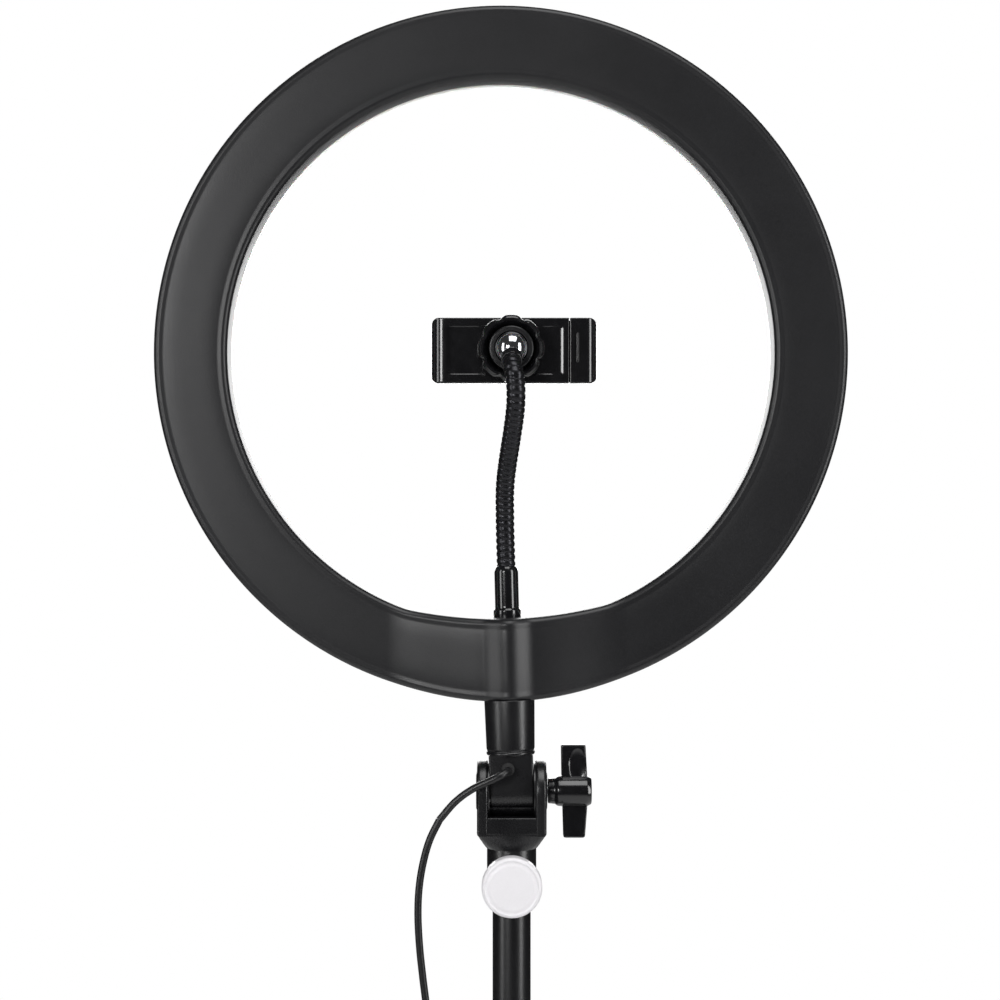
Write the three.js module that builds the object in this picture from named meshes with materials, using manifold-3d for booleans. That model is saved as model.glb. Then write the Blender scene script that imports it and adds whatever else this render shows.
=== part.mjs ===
// A ring light on a folding tripod stand, with a phone holder on a gooseneck and an in-line controller.
// Millimetres, +Z up. The lamp shines towards +Y, so its rear cover faces -Y, and the wing knob is at +X.
// The origin is on the floor, under the middle of the stand's three feet.
import * as THREE from "three";
import { mergeVertices } from "three/addons/utils/BufferGeometryUtils.js";
import Module from "manifold-3d";

const wasm = await Module();
wasm.setup();

const gap = 0.3; // between pieces that touch
const rad = THREE.MathUtils.degToRad;

// Lamp head, measured from the ring's centre.
const ringRadius = 165;
const bandWidth = 35; // from the opening to the rim
const footCut = 9; // the opening's foot is cut off this far inside its circle
const footBow = 5; // and bows down by this much at its middle
const ringDepth = 24;
const ringRound = 3;
const coverDepth = 17; // of the ring's depth, the rest is diffuser
const shellWall = 2;
const bulgeDepth = 13;
const bulgeHalfWidth = 56;
const bulgeHalfHeight = 60;
const boardMargin = 6; // from the board to the rim and to the opening
const boardThick = 1.6;
const bossRadius = 3;
const bossCount = 6;
const ringForward = 14; // the ring's middle plane lies this far in front of the column

// Neck and tilt bracket, measured from the tilt axis.
const neckReach = 42.6; // from the tilt axis up to the ring's rim
const neckLean = rad(1.4); // play in the fork lets the head lean sideways
const neckBottom = 17.1;
const neckStep = 2.15; // the root inside the cover is thinner than the neck by this
const neckRootLength = 26;
const tongueStep = 1.25; // the tongue between the cheeks is thinner than the neck by this
const tongueRound = 10.2;
const cheekThick = 5.6;
const cheekRound = 14.6;
const webDrop = 11; // from the axis down to the fork's web
const forkShoulder = 1.35; // the fork is deeper than its socket by this
const forkFoot = 20;
const coneHeight = 6.4;
const socketTubeWall = 2.35;
const socketLength = 27.4;
const boltRadius = 3;
const boltHeadRadius = 5;
const boltHeadThick = 3;
const collarRadius = 6.6; // of the wing knob's collar
const collarLength = 6.6;
const wingWidth = 12.2;
const wingThick = 5.2;
const wingReach = 22;
const lockDrop = 41.4; // from the tilt axis down to the lock knob
const lockKnobRadius = 14;
const lockKnobThick = 9;
const lockBossRadius = 6;
const lockBossProud = 2.85; // outside the socket

// Column, heights above the floor.
const socketBottom = 660;
const topTubeRadius = 9;
const topTubeWall = 0.8;
const topTubeBottom = 90;
const middlePlay = 0.9; // between the top tube and the middle one
const middleTubeWall = 0.9;
const middleTubeBottom = 62;
const middleTubeTop = 532;
const outerPlay = 0.7; // between the middle tube and the outer one
const outerTubeWall = 1;
const outerTubeBottom = 46;
const outerTubeTop = 470;
const clampWall = 4.2;
const clampAbove = 18; // how far a lock collar stands above its tube
const clampBelow = 24;
const starRadius = 12;
const starThick = 11;
const screwRadius = 2.6;

// Folding legs.
const legAzimuths = { front: 270, right: 30, left: 150 };
const legLength = 360; // from the crown's pivot to the middle of the foot
const legSpread = rad(48); // from upright
const legTubeRadius = 7;
const pivotClear = 7.5; // from the crown out to the legs' pivots
const hubHeight = 62;
const crownWall = 6;
const crownBelow = 20;
const crownAbove = 14;
const earThick = 4;
const legTongueHalf = 4;
const rivetRadius = 2.4;
const rivetHeadRadius = 4;
const rivetHeadThick = 1.2;
const hubWall = 4.5;
const hubFloor = 5.7;
const braceThick = 3;
const braceHalfWidth = 6;
const footRadius = 11;
const footHeight = 14;
const footMiddle = 8;
const bootRadius = 9.5;
const bootLength = 34;

// Gooseneck and phone holder. The gooseneck's bends are [x, y, height above its foot].
const gooseRadius = 4.3;
const ferruleRadius = 5.7;
const gooseBack = -2; // its foot's y
const goosePivotPoints = [[0, -2, 29], [0.6, -12, 64], [6.3, -40, 101.3]];
const gooseBendPoint = [0, -4.5, 46];
const gooseCurlPoint = [6, -42.5, 113.5];
const gooseTipPoint = [4.9, -36, 120];
const gooseTipTangent = new THREE.Vector3(0, 0.86, 0.5).normalize();
const insertRadius = 5;
const insertLength = 8;
const ballRadius = 8;
const ballClear = 6; // from the gooseneck's tip to the ball
const stemRadius = 5;
const stemLength = 6;
const socketWall = 2.2;
const nutWall = 7.75; // outside the ball
const nutLobes = 8;
const nutThick = 12;
const holderWidth = 79;
const holderHeight = 31;
const holderThick = 9;
const holderShift = 1.4; // the clamp's middle lies this far to +X of the ball
const jawWidth = 13;
const jawReach = 24; // the fingers stand this far in front of the back plate
const fingerThick = 5;
const tongueWidth = 18;
const tongueThick = 3;
const tongueLength = 34;
const jawSpringRadius = 2;

// Cord and controller.
const cordRadius = 1.75;
const reliefRadius = 3;
const reliefTip = 2.3;
const reliefLength = 4.5;
const cableExit = [-1.5, 0, 11.4]; // where the lead leaves the neck, about the tilt axis
const controller = { width: 26, depth: 12, height: 84, middle: 346, x: -37.5, y: -18 };
const buttonRadius = 4.2;
const buttonProud = 0.9;
const buttonDeep = 2.2;
const buttonTravel = 0.7;
const buttonPitch = 15;
const coilMiddle = new THREE.Vector2(-146, -84);
const coilRadius = 19.5; // middle of the turns
const coilBundle = 5.4;
const plugSize = new THREE.Vector3(30, 16, 8);
const plugShell = new THREE.Vector3(12, 12, 4.5);

const openingRadius = ringRadius - bandWidth;
const chordDrop = openingRadius - footCut;
const boardInner = openingRadius + boardMargin;
const boardOuter = ringRadius - boardMargin;
const ringRise = ringRadius + neckReach; // from the tilt axis up to the ring's centre
const middleTubeRadius = topTubeRadius + middlePlay + middleTubeWall;
const outerTubeRadius = middleTubeRadius + outerPlay + outerTubeWall;
const socketRadius = topTubeRadius + gap + socketTubeWall;
const neckRadius = socketRadius;
const neckRootRadius = neckRadius - neckStep;
const tongueHalf = neckRadius - tongueStep; // half the tongue's thickness
const forkHalfDepth = socketRadius + forkShoulder;
const lockBossReach = socketRadius + lockBossProud;
const crownRadius = outerTubeRadius + crownWall;
const hubRadius = outerTubeRadius + hubWall;
const pivotRadius = crownRadius + pivotClear; // from the column's axis to the legs' and the braces' pivots
const ballAhead = ballClear + ballRadius; // from the gooseneck's tip to the ball's centre
const nutRadius = ballRadius + nutWall;
const gooseFoot = new THREE.Vector3(0, gooseBack, -chordDrop - footBow);
const aboveFoot = ([x, y, height]) => new THREE.Vector3(x, y, gooseFoot.z + height);
const goosePivots = goosePivotPoints.map(aboveFoot);
const gooseTip = aboveFoot(gooseTipPoint);
const tiltHeight = socketBottom + socketLength + coneHeight + forkFoot;
const legRadius = pivotRadius + legLength * Math.sin(legSpread); // column's axis to a foot's middle
const crownHeight = footMiddle + legLength * Math.cos(legSpread);
const braceLength = (crownHeight - hubHeight) / (2 * Math.cos(legSpread));
const columnY = legRadius / 4; // the feet's box is then centred on the origin
const forkClear = gap + cheekRound * Math.sin(neckLean); // room for the lean on each side of the tongue
const forkHalf = tongueHalf + forkClear + cheekThick;
const ringBack = -ringDepth / 2;
const seam = ringBack + coverDepth;

const finish = (color, roughness, metalness = 0) =>
  new THREE.MeshStandardMaterial({ color, roughness, metalness });
const finishes = {
  cover: finish(0x2b2b2d, 0.55),
  gloss: finish(0x151517, 0.25),
  plastic: finish(0x1d1d1f, 0.5),
  white: finish(0xeeecef, 0.4),
  board: finish(0xe8e8e0, 0.6),
  tube: finish(0x161618, 0.35, 0.4),
  steel: finish(0xb0b2b5, 0.3, 1),
  chrome: finish(0xd8dadd, 0.08, 1),
  brass: finish(0xb89a55, 0.35, 1),
  rubber: finish(0x1a1a1a, 0.85),
  cord: finish(0x141414, 0.6),
};

// ---- Solids ----

// A closed geometry as a solid that can be joined and cut.
function solid(geometry) {
  const bare = geometry.clone();
  bare.deleteAttribute("normal");
  bare.deleteAttribute("uv");
  const merged = mergeVertices(bare, 1e-4);
  return new wasm.Manifold(
    new wasm.Mesh({
      numProp: 3,
      vertProperties: merged.attributes.position.array,
      triVerts: new Uint32Array(merged.index.array),
    }),
  );
}

const join = (...parts) => parts.reduce((whole, part) => whole.add(part));
const cut = (whole, ...tools) => tools.reduce((left, tool) => left.subtract(tool), whole);

function piece(name, material, body) {
  const made = body.getMesh();
  const geometry = new THREE.BufferGeometry();
  geometry.setAttribute("position", new THREE.BufferAttribute(made.vertProperties, 3));
  geometry.setIndex(new THREE.BufferAttribute(made.triVerts, 1));
  const mesh = new THREE.Mesh(geometry, finishes[material].clone());
  mesh.name = name;
  return mesh;
}

function group(parent, x = 0, y = 0, z = 0) {
  const made = new THREE.Group();
  made.position.set(x, y, z);
  parent.add(made);
  return made;
}

const block = (low, high) =>
  solid(
    new THREE.BoxGeometry(high[0] - low[0], high[1] - low[1], high[2] - low[2]).translate(
      (low[0] + high[0]) / 2,
      (low[1] + high[1]) / 2,
      (low[2] + high[2]) / 2,
    ),
  );

// A round bar along x, y or z, from one coordinate to another on that axis.
function bar(axis, radius, from, to, centre = [0, 0, 0], sides = 12, endRadius = radius) {
  const made = new THREE.CylinderGeometry(endRadius, radius, to - from, sides);
  made.translate(0, (from + to) / 2, 0);
  if (axis === "z") made.rotateX(Math.PI / 2);
  if (axis === "x") made.rotateZ(-Math.PI / 2);
  return solid(made.translate(...centre));
}

// A profile of [radius, height] points turned about z.
function turned(profile, sides = 20) {
  const points = profile.map(([r, z]) => new THREE.Vector2(r, z));
  return solid(new THREE.LatheGeometry(points, sides).rotateX(Math.PI / 2));
}

// A shape drawn in x and z, given a thickness that runs back from y = front towards -y.
function plate(shape, front, thick, curveSegments = 12, bevel = 0) {
  const made = new THREE.ExtrudeGeometry(shape, {
    depth: thick - 2 * bevel,
    curveSegments,
    bevelEnabled: bevel > 0,
    bevelThickness: bevel,
    bevelSize: bevel,
    bevelOffset: -bevel,
    bevelSegments: 1,
  });
  return solid(made.rotateX(Math.PI / 2).translate(0, front - bevel, 0));
}

function roundedBox(halfWidth, low, high, corner) {
  const shape = new THREE.Shape();
  shape.moveTo(-halfWidth + corner, low);
  shape.absarc(halfWidth - corner, low + corner, corner, -Math.PI / 2, 0);
  shape.absarc(halfWidth - corner, high - corner, corner, 0, Math.PI / 2);
  shape.absarc(-halfWidth + corner, high - corner, corner, Math.PI / 2, Math.PI);
  shape.absarc(-halfWidth + corner, low + corner, corner, Math.PI, 1.5 * Math.PI);
  return shape;
}

// An outline whose radius swells and sinks as a cosine.
function lobedShape(radius, lobes, swell, steps = 4) {
  const points = [];
  for (let i = 0; i < lobes * steps; i++) {
    const angle = (2 * Math.PI * i) / (lobes * steps);
    const r = radius - swell + swell * Math.cos(lobes * angle);
    points.push(new THREE.Vector2(r * Math.cos(angle), r * Math.sin(angle)));
  }
  return new THREE.Shape(points);
}

// A round tube of even thickness along a curve.
function along(curve, radius, steps, sides = 8) {
  const section = new THREE.Shape();
  for (let i = 0; i < sides; i++) {
    const angle = (2 * Math.PI * i) / sides;
    const [x, y] = [radius * Math.cos(angle), radius * Math.sin(angle)];
    if (i) section.lineTo(x, y);
    else section.moveTo(x, y);
  }
  return solid(new THREE.ExtrudeGeometry(section, { steps, extrudePath: curve }));
}

const ball = (radius, centre, across = 16) =>
  solid(new THREE.SphereGeometry(radius, across, across / 2).translate(centre.x, centre.y, centre.z));

// ---- Lamp head, about the ring's centre ----

// The ring's outline in x and z: a disc with a round opening whose foot is cut off and bows down.
function ringOutline(outer, hole, chord, bow) {
  const shape = new THREE.Shape();
  shape.absarc(0, 0, outer, 0, 2 * Math.PI);
  const half = Math.acos(chord / hole);
  const opening = new THREE.Path();
  opening.absarc(0, 0, hole, half - Math.PI / 2, 1.5 * Math.PI - half);
  opening.quadraticCurveTo(0, -chord - 2 * bow, hole * Math.sin(half), -chord);
  shape.holes.push(opening);
  return shape;
}

function swelling(shrink) {
  const made = new THREE.SphereGeometry(1, 28, 12);
  made.scale(bulgeHalfWidth - shrink, bulgeDepth + ringRound - shrink, bulgeHalfHeight - shrink);
  return solid(made.translate(0, ringBack + ringRound, -(chordDrop + ringRadius) / 2));
}

function lampHead(head, ring) {
  const arcs = 16;
  const outline = ringOutline(ringRadius, openingRadius, chordDrop, footBow);
  const inside = ringOutline(
    ringRadius - shellWall, openingRadius + shellWall, chordDrop + shellWall, footBow,
  );
  const shell = plate(outline, ringDepth / 2, ringDepth, arcs, ringRound);
  const hollow = plate(inside, ringDepth / 2 - shellWall, ringDepth - 2 * shellWall, arcs);
  const far = 2 * ringRadius;
  const front = block([-far, seam, -far], [far, far, far]);
  const back = block([-far, -far, -far], [far, seam + gap, far]);
  const column = plate(outline, 0, ringDepth * 2, arcs);
  const hollowColumn = plate(inside, 0, ringDepth * 2, arcs);

  const boardBack = seam - 6;
  const bosses = [];
  for (let i = 0; i < bossCount; i++) {
    const angle = (2 * Math.PI * i) / bossCount;
    const middle = (boardInner + boardOuter) / 2;
    const centre = [middle * Math.cos(angle), 0, middle * Math.sin(angle)];
    bosses.push(bar("y", bossRadius, ringBack + shellWall / 2, boardBack - gap, centre, 10));
  }
  const neckTop = -ringRadius + neckRootLength;
  const neckHole = bar("z", neckRootRadius + gap, -ringRadius - 5, neckTop, [0, -ringForward, 0], 28);
  const insertHole = bar(
    "z", insertRadius + gap, gooseFoot.z - insertLength, gooseFoot.z + 5, [0, gooseFoot.y, 0], 20,
  );
  let cover = join(cut(shell, front), swelling(0).intersect(column));
  cover = cut(cover, hollow, swelling(shellWall).intersect(hollowColumn));
  cover = cut(join(cover, ...bosses), neckHole, insertHole);
  ring.add(piece("rear_cover", "cover", cover));

  const lens = cut(shell, back, hollow);
  ring.add(piece("diffuser", "white", lens));

  const board = new THREE.Shape().absarc(0, 0, boardOuter, 0, 2 * Math.PI);
  board.holes.push(new THREE.Path().absarc(0, 0, boardInner, 0, 2 * Math.PI));
  ring.add(piece("led_board", "board", plate(board, boardBack + boardThick, boardThick, 24)));

  const threadFoot = gooseFoot.z - insertLength + gap;
  const thread = bar("z", insertRadius, threadFoot, gooseFoot.z - gap, [0, gooseFoot.y, 0]);
  ring.add(piece("gooseneck_insert", "brass", thread));

  // The neck stands under the ring, in the tilt bracket's frame, with its root up inside the cover.
  const shoulder = ringRise - ringRadius - gap;
  const root = bar("z", neckRootRadius, shoulder - 1, shoulder + neckRootLength - 1, [0, 0, 0], 20);
  const tube = bar("z", neckRadius, neckBottom, shoulder, [0, 0, 0], 20);
  const tongue = join(
    bar("x", tongueRound, -tongueHalf, tongueHalf, [0, 0, 0], 20),
    block([-tongueHalf, -tongueRound, 0], [tongueHalf, tongueRound, neckBottom + 1]),
  );
  const leanRoom = tongueHalf * Math.sin(neckLean);
  const boltHole = bar("x", boltRadius + gap + leanRoom, -forkHalf - 1, forkHalf + 1);
  const exitHole = bar("y", reliefRadius + gap, -tongueRound - 1, -tongueRound + 4, cableExit, 12);
  head.add(piece("neck", "plastic", cut(join(root, tube, tongue), boltHole, exitHole)));
  const relief = bar(
    "y", reliefTip, -tongueRound - reliefLength, -tongueRound + 4 - gap, cableExit, 12, reliefRadius,
  );
  head.add(piece("strain_relief", "rubber", relief));
}


// ---- Tilt bracket, about the tilt axis ----

function tiltBracket(head) {
  const socketTop = -forkFoot - coneHeight;
  const foot = socketTop - socketLength;
  const cheeks = join(
    bar("x", cheekRound, -forkHalf, forkHalf, [0, 0, 0], 20),
    block([-forkHalf, -forkHalfDepth, -forkFoot], [forkHalf, forkHalfDepth, 0]),
  );
  const slot = block(
    [-tongueHalf - forkClear, -2 * cheekRound, -webDrop],
    [tongueHalf + forkClear, 2 * cheekRound, 2 * cheekRound],
  );
  const cone = bar("z", socketRadius, socketTop, -forkFoot + 0.5, [0, 0, 0], 20, forkHalfDepth + 1);
  const sleeve = bar("z", socketRadius, foot, socketTop + 0.5, [0, 0, 0], 20);
  const boss = bar("y", lockBossRadius, -lockBossReach, 0, [0, 0, -lockDrop], 24);
  const bore = bar("z", topTubeRadius + gap, foot - 1, socketTop + 2, [0, 0, 0], 20);
  const boltHole = bar("x", boltRadius + gap, -forkHalf - 1, forkHalf + 1);
  const headHole = bar("x", boltHeadRadius + gap, -forkHalf - 1, -forkHalf + boltHeadThick + 2 * gap);
  const screwHole = bar("y", screwRadius + gap, -lockBossReach - 1, 0, [0, 0, -lockDrop], 16);
  const clevis = cut(join(cut(cheeks, slot), cone, sleeve, boss), bore, boltHole, headHole, screwHole);
  head.add(piece("tilt_clevis", "plastic", clevis));

  const knobFace = forkHalf + gap;
  const knobEnd = knobFace + collarLength + wingWidth + 2;
  const bolt = join(
    bar("x", boltRadius, -forkHalf + boltHeadThick, knobEnd - 5),
    bar("x", boltHeadRadius, -forkHalf + gap, -forkHalf + boltHeadThick + gap / 2),
  );
  head.add(piece("pivot_bolt", "steel", bolt));

  const wingStart = knobFace + collarLength;
  const wings = roundedBox(wingWidth / 2, -wingReach, wingReach, 3);
  const wing = plate(wings, wingThick / 2, wingThick, 3, 1).translate([wingStart + wingWidth / 2, 0, 0]);
  const hub = bar("x", collarRadius, knobFace, knobEnd, [0, 0, 0], 20);
  const waist = bar("x", boltRadius + gap, knobFace - 1, knobEnd - 5 + gap);
  head.add(piece("tilt_knob", "gloss", cut(join(wing, hub), waist)));

  const knobBack = -lockBossReach - 3;
  const knob = plate(
    new THREE.Shape().absarc(0, 0, lockKnobRadius, 0, 2 * Math.PI), knobBack, lockKnobThick, 12, 1.5,
  );
  const knobCollar = bar("y", lockBossRadius, knobBack - 1, -lockBossReach - gap, [0, 0, 0], 20);
  const screwSeat = bar("y", screwRadius + gap, knobBack - 4, 0, [0, 0, 0], 16);
  head.add(
    piece("lock_knob", "white", cut(join(knob, knobCollar), screwSeat).translate([0, 0, -lockDrop])),
  );
  const screw = bar("y", screwRadius, knobBack - 4 + gap, -topTubeRadius - gap, [0, 0, -lockDrop], 16);
  head.add(piece("lock_screw", "steel", screw));
}

// ---- Column, heights above the floor ----

function pipe(radius, wall, low, high, sides = 20) {
  const inside = radius - wall;
  return turned([[inside, low], [radius, low], [radius, high], [inside, high], [inside, low]], sides);
}

// A plug that closes a tube's end: a flange outside it and a stub inside.
function endPlug(flangeRadius, stubRadius, flangeFrom, flangeTo, stubTo) {
  const upright = (radius, a, b) => bar("z", radius, Math.min(a, b), Math.max(a, b), [0, 0, 0], 20);
  return join(
    upright(flangeRadius, flangeFrom, flangeTo),
    upright(stubRadius, (flangeFrom + flangeTo) / 2, stubTo),
  );
}

// A lock collar at a tube's top: it holds that tube, and the next tube slides through it.
function lockCollar(tubeRadius, slidingRadius, tubeTop, azimuth) {
  const outside = tubeRadius + clampWall;
  const [low, high] = [tubeTop - clampBelow, tubeTop + clampAbove];
  const axisHeight = tubeTop + clampAbove / 2;
  const sleeve = turned([
    [0, low], [outside - 1, low], [outside, low + 1], [outside, high - 1], [outside - 1, high], [0, high],
  ]);
  const boss = bar("x", starRadius / 2 + 1, 0, outside + 5, [0, 0, axisHeight], 20);
  const lower = bar("z", tubeRadius + gap, low - 1, tubeTop + gap, [0, 0, 0], 20);
  const upper = bar("z", slidingRadius + gap, low - 1, high + 1, [0, 0, 0], 20);
  const hole = bar("x", screwRadius + gap, 0, outside + 6, [0, 0, axisHeight], 16);
  const turn = [0, 0, azimuth];
  return {
    collar: cut(join(sleeve, boss), lower, upper, hole).rotate(turn),
    ...starKnob(slidingRadius, outside + 5, axisHeight, azimuth),
  };
}

// A lobed knob and its screw, on an axis that points out from the column.
function starKnob(tipRadius, face, axisHeight, azimuth) {
  const star = plate(lobedShape(starRadius, 6, 1.2), 0, starThick, 6, 1).rotate([0, 0, 90]);
  const seat = bar("x", screwRadius + gap, face - 1, face + starThick - 2, [0, 0, 0], 16);
  const knob = cut(star.translate([face + gap, 0, 0]), seat);
  const screw = bar("x", screwRadius, tipRadius + gap, face + starThick - 2 - gap, [0, 0, 0], 16);
  const place = (body) => body.translate([0, 0, axisHeight]).rotate([0, 0, azimuth]);
  return { knob: place(knob), screw: place(screw) };
}

function column(stand) {
  const boreTop = tiltHeight - forkFoot - coneHeight + 2;
  const topTubeTop = boreTop - 4;
  stand.add(piece("top_tube", "tube", pipe(topTubeRadius, topTubeWall, topTubeBottom, topTubeTop)));
  const topInside = topTubeRadius - topTubeWall - gap;
  const cap = endPlug(topTubeRadius, topInside, topTubeTop + gap, topTubeTop + 3, topTubeTop - 10);
  stand.add(piece("top_plug", "plastic", cap));
  const topSlip = middleTubeRadius - middleTubeWall - gap;
  const topBush = endPlug(topSlip, topInside, topTubeBottom - 14, topTubeBottom - gap, topTubeBottom + 10);
  stand.add(piece("top_bush", "plastic", topBush));

  const middleTube = pipe(middleTubeRadius, middleTubeWall, middleTubeBottom, middleTubeTop);
  stand.add(piece("middle_tube", "tube", middleTube));
  const outerSlip = outerTubeRadius - outerTubeWall - gap;
  const middleBush = endPlug(
    outerSlip, topSlip, middleTubeBottom - 10, middleTubeBottom - gap, middleTubeBottom + 8,
  );
  stand.add(piece("middle_bush", "plastic", middleBush));
  const middle = lockCollar(middleTubeRadius, topTubeRadius, middleTubeTop, 0);
  stand.add(piece("middle_collar", "plastic", middle.collar));
  stand.add(piece("middle_knob", "gloss", middle.knob));
  stand.add(piece("middle_screw", "steel", middle.screw));

  const outerTube = pipe(outerTubeRadius, outerTubeWall, outerTubeBottom, outerTubeTop);
  stand.add(piece("outer_tube", "tube", outerTube));
  const outer = lockCollar(outerTubeRadius, middleTubeRadius, outerTubeTop, 0);
  stand.add(piece("outer_collar", "plastic", outer.collar));
  stand.add(piece("outer_knob", "gloss", outer.knob));
  stand.add(piece("outer_screw", "steel", outer.screw));
}

// ---- Legs: radial x, tangential y, about the column's axis ----

// An ear plate around a pivot, joined to a collar inside it, between two tangential distances.
function ear(from, to, height, reach = 8) {
  return join(
    bar("y", reach, from, to, [pivotRadius, 0, height], 10),
    block([hubRadius - 3, from, height - reach], [pivotRadius, to, height + reach]),
  );
}

function legs(stand) {
  const earInner = legTongueHalf + gap;
  const earOuter = earInner + earThick;
  const collar = (outside, low, high) =>
    turned([
      [0, low], [outside - 1, low], [outside, low + 1], [outside, high - 1], [outside - 1, high], [0, high],
    ]);
  const around = (make) => Object.values(legAzimuths).map((azimuth) => make().rotate([0, 0, azimuth]));

  const crownBoss = bar("y", starRadius / 2 + 1, 0, crownRadius + 5, [0, 0, crownHeight - 3], 20);
  const crown = cut(
    join(
      collar(crownRadius, crownHeight - crownBelow, crownHeight + crownAbove),
      crownBoss,
      ...around(() => ear(-earOuter, -earInner, crownHeight)),
      ...around(() => ear(earInner, earOuter, crownHeight)),
    ),
    bar("z", outerTubeRadius + gap, crownHeight - 40, crownHeight + 40, [0, 0, 0], 20),
    bar("y", screwRadius + gap, 0, crownRadius + 6, [0, 0, crownHeight - 3], 16),
    ...around(() => bar("y", rivetRadius + gap, -earOuter - 1, earOuter + 1, [pivotRadius, 0, crownHeight], 8)),
  );
  stand.add(piece("leg_crown", "plastic", crown));
  const crownKnob = starKnob(outerTubeRadius, crownRadius + 5, crownHeight - 3, 90);
  stand.add(piece("crown_knob", "gloss", crownKnob.knob));
  stand.add(piece("crown_screw", "steel", crownKnob.screw));

  const braceInner = legTubeRadius + 2 * gap;
  const braceOuter = braceInner + braceThick;
  const rivetEnd = braceOuter + gap + rivetHeadThick;
  const hubCollar = collar(hubRadius, outerTubeBottom - hubFloor - gap, hubHeight + 16);
  const hub = join(
    cut(
      join(hubCollar, ...around(() => ear(braceInner - gap - earThick, braceInner - gap, hubHeight))),
      bar("z", outerTubeRadius + gap, outerTubeBottom - gap, hubHeight + 40, [0, 0, 0], 20),
    ),
    ...around(() => bar("y", rivetRadius, braceInner - 2, rivetEnd, [pivotRadius, 0, hubHeight], 8)),
    ...around(() => bar("y", rivetHeadRadius, braceOuter + gap, rivetEnd, [pivotRadius, 0, hubHeight], 10)),
  );
  stand.add(piece("lower_hub", "plastic", hub));

  for (const [side, azimuth] of Object.entries(legAzimuths)) {
    const spoke = group(stand);
    spoke.rotation.z = rad(azimuth);
    const hinged = group(spoke, pivotRadius, 0, crownHeight);
    hinged.rotation.y = -legSpread;
    const eyeHole = bar("y", rivetRadius + gap, -10, 10, [0, 0, 0], 12);
    const leg = join(
      bar("z", legTubeRadius, -legLength + 2, -13, [0, 0, 0], 20),
      bar("y", legTubeRadius, -legTongueHalf, legTongueHalf, [0, 0, 0], 20),
      block([-legTubeRadius + 1, -legTongueHalf, -16], [legTubeRadius - 1, legTongueHalf, 0]),
    );
    hinged.add(piece("leg_" + side, "tube", cut(leg, eyeHole)));
    const rivet = join(
      bar("y", rivetRadius, -earOuter - gap - rivetHeadThick, earOuter + gap + rivetHeadThick, [0, 0, 0], 10),
      bar("y", rivetHeadRadius, -earOuter - gap - rivetHeadThick, -earOuter - gap, [0, 0, 0], 10),
      bar("y", rivetHeadRadius, earOuter + gap, earOuter + gap + rivetHeadThick, [0, 0, 0], 10),
    );
    spoke.add(piece("crown_rivet_" + side, "steel", rivet.translate([pivotRadius, 0, crownHeight])));

    const boot = bar("z", bootRadius, 0, bootLength, [0, 0, 0], 20)
      .rotate([0, -THREE.MathUtils.radToDeg(legSpread), 0])
      .translate([legRadius, 0, footMiddle]);
    const pad = bar("z", footRadius, 0, footHeight, [legRadius, 0, 0], 24);
    const legHole = bar("z", legTubeRadius + gap, 2 - gap, bootLength + 20, [0, 0, 0], 20)
      .rotate([0, -THREE.MathUtils.radToDeg(legSpread), 0])
      .translate([legRadius, 0, footMiddle]);
    const under = block([0, -50, -50], [2 * legRadius, 50, 0]);
    spoke.add(piece("foot_" + side, "rubber", cut(join(boot, pad), legHole, under)));

    const swung = group(spoke, pivotRadius, 0, hubHeight);
    swung.rotation.y = legSpread;
    const round = braceHalfWidth - 0.01;
    const bars = roundedBox(braceHalfWidth, -braceHalfWidth, braceLength + braceHalfWidth, round);
    const brace = join(
      cut(plate(bars, braceOuter, braceThick, 3), bar("y", rivetRadius + gap, 0, 20, [0, 0, 0], 12)),
      bar("y", rivetHeadRadius, braceOuter - 1, rivetEnd, [0, 0, braceLength], 10),
      bar("y", rivetRadius, legTubeRadius + gap, braceOuter, [0, 0, braceLength], 8),
    );
    swung.add(piece("brace_" + side, "tube", brace));
  }
}

// ---- Gooseneck and phone holder, about the ring's centre ----

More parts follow.
